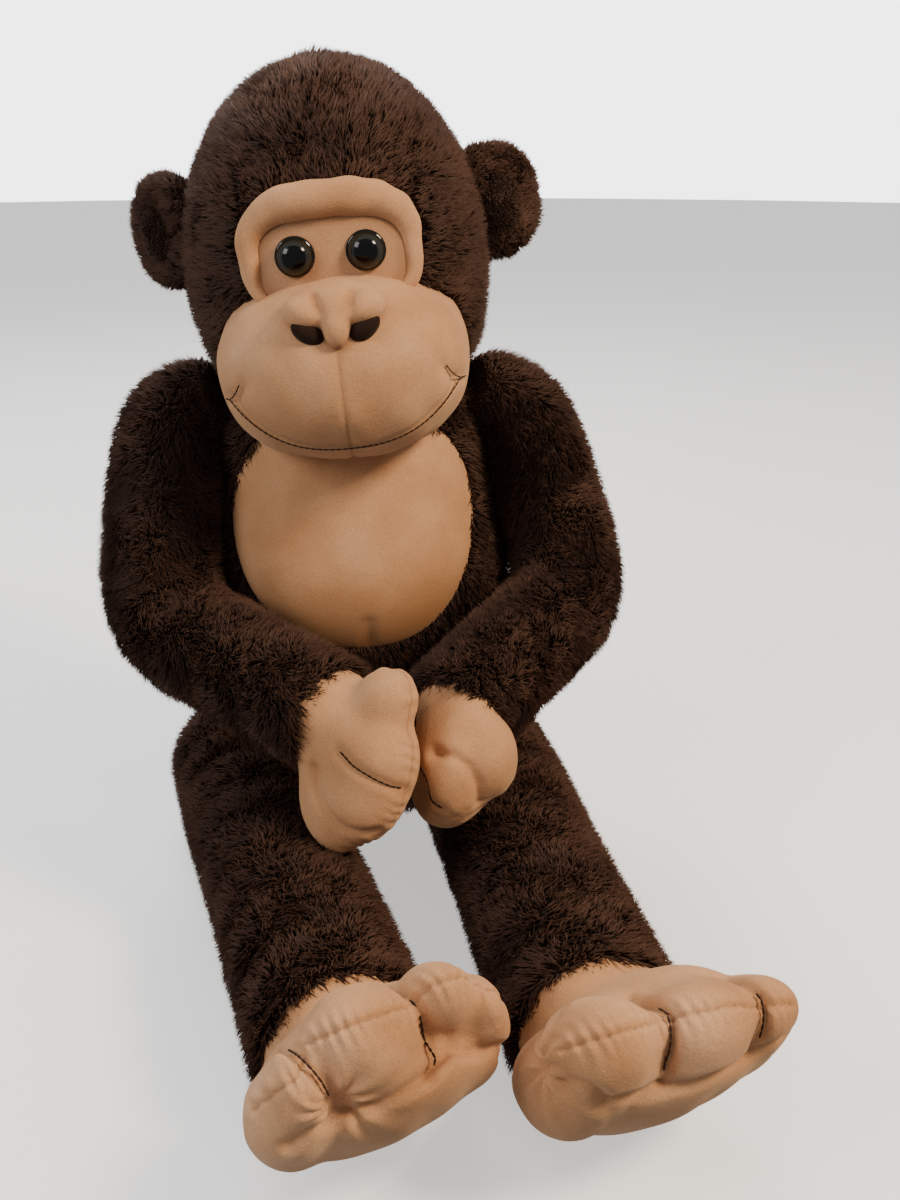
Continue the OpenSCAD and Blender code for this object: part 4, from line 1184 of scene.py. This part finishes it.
# %% Legs
leg_radii = [0, 0.25, 0.53, 0.8, 1], [53.0, 55.0, 53.0, 53.5, 54.0]
for word in SIDES:
    a, b, c = (joint_at[f"{name}_{word}"] for name in ("hip_raise", "knee_bend", "ankle_tip"))
    path, t = limb_path([a, b, c], [20])
    grid, ways = limb_grid(path, np.array([0.0, 0, 1]), np.interp(t, *leg_radii) + limb_in, 84)
    points, quads, fans = skin(grid)
    points[:, 2] = np.maximum(points[:, 2], 1.0)
    sew_limb(f"{word}_leg", points, quads, fans, ways, (a, b, c), 50, ("thigh", "shin"))

# %% [markdown]
# ## Hands
#
# A hand is a mitten: a palm, a bulge of fingers, a lobe that stands up and a thumb on the other side.
# It is built with the fingers along Z and the knuckles across Y, around the wrist at zero. A line of
# stitches parts the fingers. The two hands are not alike, so each has a plan of its own: which way it
# points, its eggs, and the points that its lines go by.

# %% Hand plans
HAND_SHARP = 9.0
hand_middle = np.array([0.0, 0, 38])
hand_plan = {
    "right": dict(
        fingers=[0.5, -0.76, -0.38],
        knuckles=[0.12, 0.4, 0.9],
        eggs=[
            ((0, 0, 0), (33, 33, 33)),
            ((0, -2, 32), (26, 43, 36)),
            ((0, 2, 57), (25, 36, 30)),
            ((0, 38, 36), (20, 25, 21)),
            ((0, -20, 63), (23, 32, 29)),
            ((-2, -41, 49), (20, 22, 32), turned([1, 0, 0], 24)),
        ],
        line=[[-24, 2, 44], [-22, 2, 55], [-18, 4, 66], [-11, 6, 78], [-3, 8, 86]],
        fold=[[-24, -24, 32], [-23, -31, 44], [-20, -33, 58], [-14, -30, 72], [-6, -22, 86]],
        rim=[[0, 50, 20], [0, 60, 40], [0, 40, 70], [0, 0, 90], [0, -40, 75], [0, -60, 45], [0, -50, 20]],
    ),
    "left": dict(
        fingers=[-0.18, -0.8, -0.55],
        knuckles=[0.2, 0.45, 0.86],
        eggs=[
            ((0, 0, 0), (33, 33, 33)),
            ((-2, 0, 34), (30, 40, 36)),
            ((-4, -5, 58), (28, 37, 31)),
            ((18, 12, 46), (21, 27, 27)),
        ],
        line=[[-24, 4, 42], [-24, 4, 52], [-22, 5, 62], [-16, 6, 74], [-8, 6, 82]],
        fold=[[-20, 26, 56], [-8, 33, 60], [3, 32, 66], [12, 22, 74], [16, 8, 80]],
        rim=[[40, 0, 20], [42, 0, 45], [26, 0, 75], [0, 0, 90], [-28, 0, 75], [-38, 0, 45], [-38, 0, 20]],
    ),
}
print("eggs in each hand:", {word: len(plan["eggs"]) for word, plan in hand_plan.items()})


# %% Hands
def on_hand(eggs, aims, steps=24):
    """A line on the skin of a hand: rays from its middle through evenly spread aims."""
    return egg_union(hand_middle, eggs, HAND_SHARP, unit(spread(aims, steps) - hand_middle), 160)


def off_right_hand(points):
    """Points of the left hand that give way to the right one, where the lifted left wrist brings them."""
    here, there, to_hand = joint_at["wrist_lift_left"], joint_at["wrist_lift_right"], hand_frames["right"]
    lift = turned(joint_axis["wrist_lift_left"], joint_range["wrist_lift_left"][1])

    def reach(way):
        right_skin = egg_union(hand_middle, hand_plan["right"]["eggs"], HAND_SHARP, way, 130)
        return np.linalg.norm(right_skin - hand_middle, axis=-1)

    moved = give_way((lifted(points, "wrist_lift_left") - there) @ to_hand, hand_middle, reach, 4.5)[0]
    return (moved @ to_hand.T + there - here) @ lift + here


hand_rays = polar_rays(90, 110, upright)
hand_frames = {}
for word, plan in hand_plan.items():
    eggs, wrist = plan["eggs"], joint_at[f"wrist_lift_{word}"]
    zed = unit(np.array(plan["fingers"]))
    wye = unit(np.array(plan["knuckles"]) - zed * (np.array(plan["knuckles"]) @ zed))
    hand_frame = np.stack([np.cross(wye, zed), wye, zed], 1)
    hand_frames[word] = hand_frame
    finger_line, fold = on_hand(eggs, plan["line"]), on_hand(eggs, plan["fold"])
    rim = on_hand(eggs, plan["rim"], 60)
    plain = skin(egg_union(hand_middle, eggs, HAND_SHARP, hand_rays, 130))
    hand = stuffed(f"{word}_hand_plush", *plain, [finger_line, rim])
    points, normals = points_of(hand), points_of(hand, "normal")
    rim_gap = distance_to(points, rim)
    sunk = press(points, finger_line, 2.2, 4.0) + press(points, fold, 3.0, 3.6)
    sunk += press(points, fold[:2], 3.0, 6.0) + 1.2 * bell(rim_gap, 2.4)
    gathers = 0.6 * np.sin(points[:, 1] * 0.75 + 2 * lumps(points, 30, 5)) * bell(rim_gap, 9)
    points = points + normals * (gathers - sunk + 0.9 * lumps(points, 45, 51))[:, None]
    # The rim seam is darker, partly as painted shade in its groove, and painted shade lies along the fold.
    marks = 0.4 * bell(rim_gap, 1.2) + press(points, fold, 0.5, 1.8)
    placed = points @ hand_frame.T + wrist
    line = (finger_line - unit(finger_line - hand_middle) * 1.4) @ hand_frame.T + wrist
    if word == "left":
        placed, line = off_right_hand(placed), off_right_hand(line)
    dress(hand, placed, marks)
    body = f"hand_{word}"
    hand_over(hand, body, [body, f"hand_fill_{word}"], tan_plush)
    stitches(f"{word}_hand_stitches", body, f"hand_stitch_{word}", [line], wrist + hand_frame @ hand_middle)

# %% [markdown]
# ## Feet
#
# A foot is a padded slipper: a heel and a long sole pad, and toes that stand on its front. A seam runs
# round the toes at half height and gathers the cloth into small pleats, and dark stitches pull the toes
# apart. It is built flat, with the toes along -Y and the sole at -Z around the ankle at zero, and then
# pitched up. The feet differ as the hands do. The lines of a plan are corners in x and z, as seen from
# the front.

# %% Foot plans
FOOT_SHARP = 13.0
foot_middle = np.array([0.0, -55, -20])
foot_pitch, toe_roots = -44, -45.0
foot_base = [((0, 0, 0), (47, 47, 47)), ((0, 2, -24), (52, 42, 33))]
foot_plan = {
    "right": dict(
        yaw=10,
        roll=-12,
        toes=[
            ((4, -48, -36), (66, 60, 23)),
            ((2, -44, -9), (60, 48, 27)),
            ((-50, -52, -26), (27, 50, 27)),
            ((-48, -84, -19), (16, 34, 23)),
            ((-9, -88, -9), (32, 38, 31)),
            ((38, -84, -5), (19, 35, 21)),
            ((58, -74, -20), (15, 34, 22)),
        ],
        splits=[[(-47, 12), (-44, 0), (-38, -18), (-33, -38)], [(18, 14), (22, -4), (21, -31), (14, -40)]],
        seam=[(-70, -16), (-48, -10), (-37, 1), (17, -2), (30, 2), (48, 0), (72, -18)],
        under=[(-62, -40), (-34, -40), (-8, -41), (12, -38), (32, -28), (52, -40), (66, -42)],
        tuck=np.array([-32.0, -101, -31]),
        pleat_deep=1.9,
    ),
    "left": dict(
        yaw=17,
        roll=-4,
        toes=[
            ((6, -48, -37), (64, 58, 22)),
            ((4, -44, -10), (60, 48, 27)),
            ((-53, -50, -22), (25, 46, 29)),
            ((-45, -85, -13), (30, 39, 27)),
            ((10, -88, -20), (32, 37, 26)),
            ((49, -81, -26), (25, 36, 22)),
        ],
        splits=[[(-12, 8), (-11, -8), (-17, -26), (-24, -41)], [(44, -2), (42, -20), (37, -34), (33, -44)]],
        seam=[(-72, -4), (-14, -10), (20, -16), (60, -28)],
        under=[(-74, -20), (-56, -38), (-26, -41), (-8, -46), (32, -46), (58, -44)],
        tuck=np.array([-74.0, -76, -9]),
        pleat_deep=2.7,
    ),
}
print("eggs in each foot:", {word: len(foot_base + plan["toes"]) for word, plan in foot_plan.items()})


# %% Feet
def on_toes(eggs, corners, steps=70):
    """A line on the front of a foot: rays straight ahead from even steps along corners in x and z."""
    x, z = spread(corners, steps).T
    start = np.stack([x, np.full(steps, toe_roots), z], -1)
    return egg_union(start, eggs, FOOT_SHARP, np.broadcast_to(np.array(forward, float), (steps, 3)), 120)


def pleats(points, tuck):
    """Pleats that fan out from a tuck, a sine of the angle round it, and how far each point is from it."""
    from_tuck = points - tuck
    far = np.linalg.norm(from_tuck, axis=1)
    outward = unit(tuck - foot_middle)
    sideways = unit(np.cross(outward, [0, 0, 1.0]))
    turn_at = np.arctan2(from_tuck @ np.cross(sideways, outward), from_tuck @ sideways)
    fan = np.sin(9 * turn_at + lumps(points, 30, 66))
    return (fan - 0.5) * bell(far, 27) * ease(far / 14) - 2.5 * bell(far, 7), far


foot_rays = polar_rays(120, 150, forward)
stitched, stitch_sunk = slice(10, 32), np.array([0, 1.9, 0])
for word, plan in foot_plan.items():
    eggs, ankle = foot_base + plan["toes"], joint_at[f"ankle_tip_{word}"]
    foot_turn = turned([0, 0, 1], plan["yaw"]) @ turned([1, 0, 0], foot_pitch)
    foot_turn = foot_turn @ turned([0, 1, 0], plan["roll"])
    lines = [on_toes(eggs, split, 40) for split in plan["splits"]]
    seam, under_toes = on_toes(eggs, plan["seam"]), on_toes(eggs, plan["under"])
    plain = skin(egg_union(foot_middle, eggs, FOOT_SHARP, foot_rays, 160))
    foot = stuffed(f"{word}_foot_plush", *plain, [*lines, seam], net=3.2)
    points, normals = points_of(foot), points_of(foot, "normal")
    seam_gap = distance_to(points, seam)
    sunk = sum(press(points, line, 4.0, 3.6) for line in lines) + 1.5 * bell(seam_gap, 2.0)
    sunk += press(points, under_toes, 4.5, 4.5)
    gathers = 0.8 * np.sin(points[:, 0] * 1.1 + 2.5 * lumps(points, 40, 62)) * bell(seam_gap, 10)
    fanned, from_tuck = pleats(points, plan["tuck"])
    uneven = 1.2 * lumps(points, 60, 63) + 0.6 * lumps(points, 26, 64)
    moved = gathers + plan["pleat_deep"] * fanned - sunk + uneven
    placed = (points + normals * moved[:, None]) @ foot_turn.T + ankle
    placed[:, 2] = np.maximum(placed[:, 2], 0.3)
    # The seam and the toe lines are darker, partly as painted shade in their grooves; painted shade lies in
    # the tuck and under the toes.
    marks = 0.5 * bell(seam_gap, 1.1) + sum(press(points, line, 0.4, 2.4) for line in lines)
    marks += 0.3 * bell(from_tuck, 6) + press(points, under_toes, 0.22, 4.0)
    dress(foot, placed, marks)
    body = f"foot_{word}"
    hand_over(foot, body, [body, f"foot_fill_{word}"], tan_plush)
    rows = [(line[stitched] + stitch_sunk) @ foot_turn.T + ankle for line in lines]
    middle = ankle + foot_turn @ foot_middle
    stitches(f"{word}_toe_stitches", body, f"toe_stitch_{word}", rows, middle, thick=1.4)

# %% [markdown]
# ## Growing the pile
#
# Roots are scattered over each backing, and those that lie under the face, under the belly panel or
# inside a neighbour are left out. On the head the nap is brushed away from the face; on a limb it runs
# down the limb. Pile is clipped short where the muzzle comes close to a sleeve.

# %% Head pile
ROOTS_MOST = 66000
roots, normals = scatter(head_points, head_quads, 96000, 101)
face_half = panel_half[0] + np.where(roots[:, 2] > 122, 16, 9), panel_half[1] + 21
in_face = (patch_share(roots, panel_middle, face_half, brow_square) < 1) & (roots[:, 1] < 0)
in_muzzle = egg_share(roots - muzzle_at, muzzle_half - 4, EGG_POWER)[:, 0] < 1
hidden = in_face | in_muzzle | (roots[:, 2] < 26)
for side in SIDES.values():
    hidden |= egg_share(roots - ear_middle * [side, 1, 1], ear_half - 6, 2)[:, 0] < 1
keep = thinned(~hidden, ROOTS_MOST)
roots, normals = roots[keep], normals[keep]
face_front = np.array([0.0, -150.0, 110.0])
away = unit(roots - face_front) @ head_turn.T
for fur in pile("head_pile", on_head(roots), normals @ head_turn.T, away * 0.5, 12.0, 1.8, 102):
    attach(fur, "head")

# %% Ear pile
for name, points, quads, count, long, shade in ear_fur:
    roots, normals = scatter(points, quads, count, 110)
    keep = depth_in(roots, head_form) > 0.97
    no_nap = np.zeros((keep.sum(), 3))
    for fur in pile(name, on_head(roots[keep]), normals[keep] @ head_turn.T, no_nap, long, 1.7, 111, shade):
        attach(fur, "head")

# %% Torso pile
pile_long, pile_wide = 13.0, 1.9
socket_r = {"shoulder_raise": 36.0, "hip_raise": 47.0}
roots, normals = scatter(torso_points, torso_quads, 105000, 120)
in_belly = patch_share(roots, belly["middle"], belly["half"] - 3, belly["squareness"]) < 1
keep = (roots[:, 2] > 2.5) & (roots[:, 2] < 363) & ~(in_belly & (roots[:, 1] < 0))
for word in SIDES:
    for joint, radius in socket_r.items():
        keep &= np.linalg.norm(roots - joint_at[f"{joint}_{word}"], axis=1) > radius
keep = thinned(keep, ROOTS_MOST)
down = np.array([0.0, 0, -0.7])
for fur in pile("torso_pile", roots[keep], normals[keep], down, pile_long, pile_wide, 121):
    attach(fur, "torso")

# %% Limb pile
limb_roots = {"sleeve": 47000, "leg": 54000}
least_room, room_to_grow, shortest = 1, 15, 0.12
for k, (name, points, quads, ways, bodies, bend) in enumerate(limb_fur):
    word, kind = name.split("_")
    roots, normals = scatter(points, quads, limb_roots[kind], 130 + k)
    sides = (len(points) - 2) // len(ways)
    ring_starts = points[: len(ways) * sides : sides]
    ring_of = np.argmin(((roots[:, None] - ring_starts) ** 2).sum(-1), 1)
    keep = (depth_in(roots, torso_form) > 0.94) & (roots[:, 2] > 1.4)
    roots, normals, nap = roots[keep], normals[keep], ways[ring_of][keep]
    long = np.full(len(roots), pile_long)
    if kind == "sleeve":
        raised = lifted(roots, f"shoulder_raise_{word}")
        room = np.minimum(off_muzzle(roots, neck_end[word])[1], off_muzzle(raised, neck_end["left"])[1])
        long *= np.clip((room - least_room) / room_to_grow, shortest, 1)
    for fur in pile(f"{name}_pile", roots, normals, nap * 0.6, long, pile_wide, 140 + k):
        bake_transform(fur)

# %% [markdown]
# ## Floor and light
#
# A pale floor and three large, soft lamps: a warm key from the upper right, a fill from the left and
# one from behind, which brushes the tips of the pile. The floor throws no light back, so the toy's
# underside stays dark.

# %% Floor
floor_finish, tree, shader = material_with("pale floor")
faint = ramp_node(tree, noise_node(tree, 3, 2), [(0.3, (0.80, 0.795, 0.785)), (0.7, (0.83, 0.825, 0.815))])
glow = {"Emission Color": (1.0, 0.98, 0.96), "Emission Strength": 0.7}
feed(shader, {"Base Color": faint, "Roughness": 0.9, **glow})
floor_sides, floor_r = 48, 9000
disc = spun(np.array([[floor_r, -0.5]]), floor_sides)[0]
corner = np.arange(1, floor_sides - 1)
floor = put_mesh("floor", disc, no_quads, np.stack([np.zeros_like(corner), corner, corner + 1], -1))
floor.data.materials.append(floor_finish)
floor.visible_diffuse = floor.visible_glossy = False


# %% Light
def lamp(name, place, aim, size, power_w, colour):
    """An area lamp at a place, with its -Z axis turned to the aim."""
    light = bpy.data.lights.new(name, "AREA")
    light.size, light.energy, light.color = size, power_w, colour
    back = unit(np.array(place, float) - np.array(aim, float))
    side = unit(np.cross([0, 0, 1], back))
    thing = bpy.data.objects.new(name, light)
    bpy.context.scene.collection.objects.link(thing)
    thing.matrix_world = standing(side, np.cross(back, side), back, place)


lamp("key lamp", (1.5, -1.15, 1.9), (0, -0.1, 0.3), 0.6, 68, (1.0, 0.8, 0.58))
lamp("fill lamp", (-1.8, -1.0, 1.5), (0, -0.1, 0.3), 1.0, 26, (1.0, 0.97, 0.94))
lamp("back lamp", (-0.4, 1.5, 2.1), (0, 0, 0.4), 1.4, 45, (0.93, 0.96, 1.0))
world = bpy.data.worlds.new("soft room")
bpy.context.scene.world = world
world.use_nodes = True
sight = world.node_tree.nodes.new("ShaderNodeLightPath")
brighter = world.node_tree.nodes.new("ShaderNodeMath")
brighter.operation = "MULTIPLY_ADD"
feed(brighter, {0: sight.outputs["Is Camera Ray"], 1: 4.0, 2: 0.38})
feed(world.node_tree.nodes["Background"], {"Color": (0.95, 0.96, 1.0), "Strength": brighter.outputs[0]})
print("lamps:", [light.name for light in bpy.data.lights])

# %% Finish
bpy.context.view_layer.update()
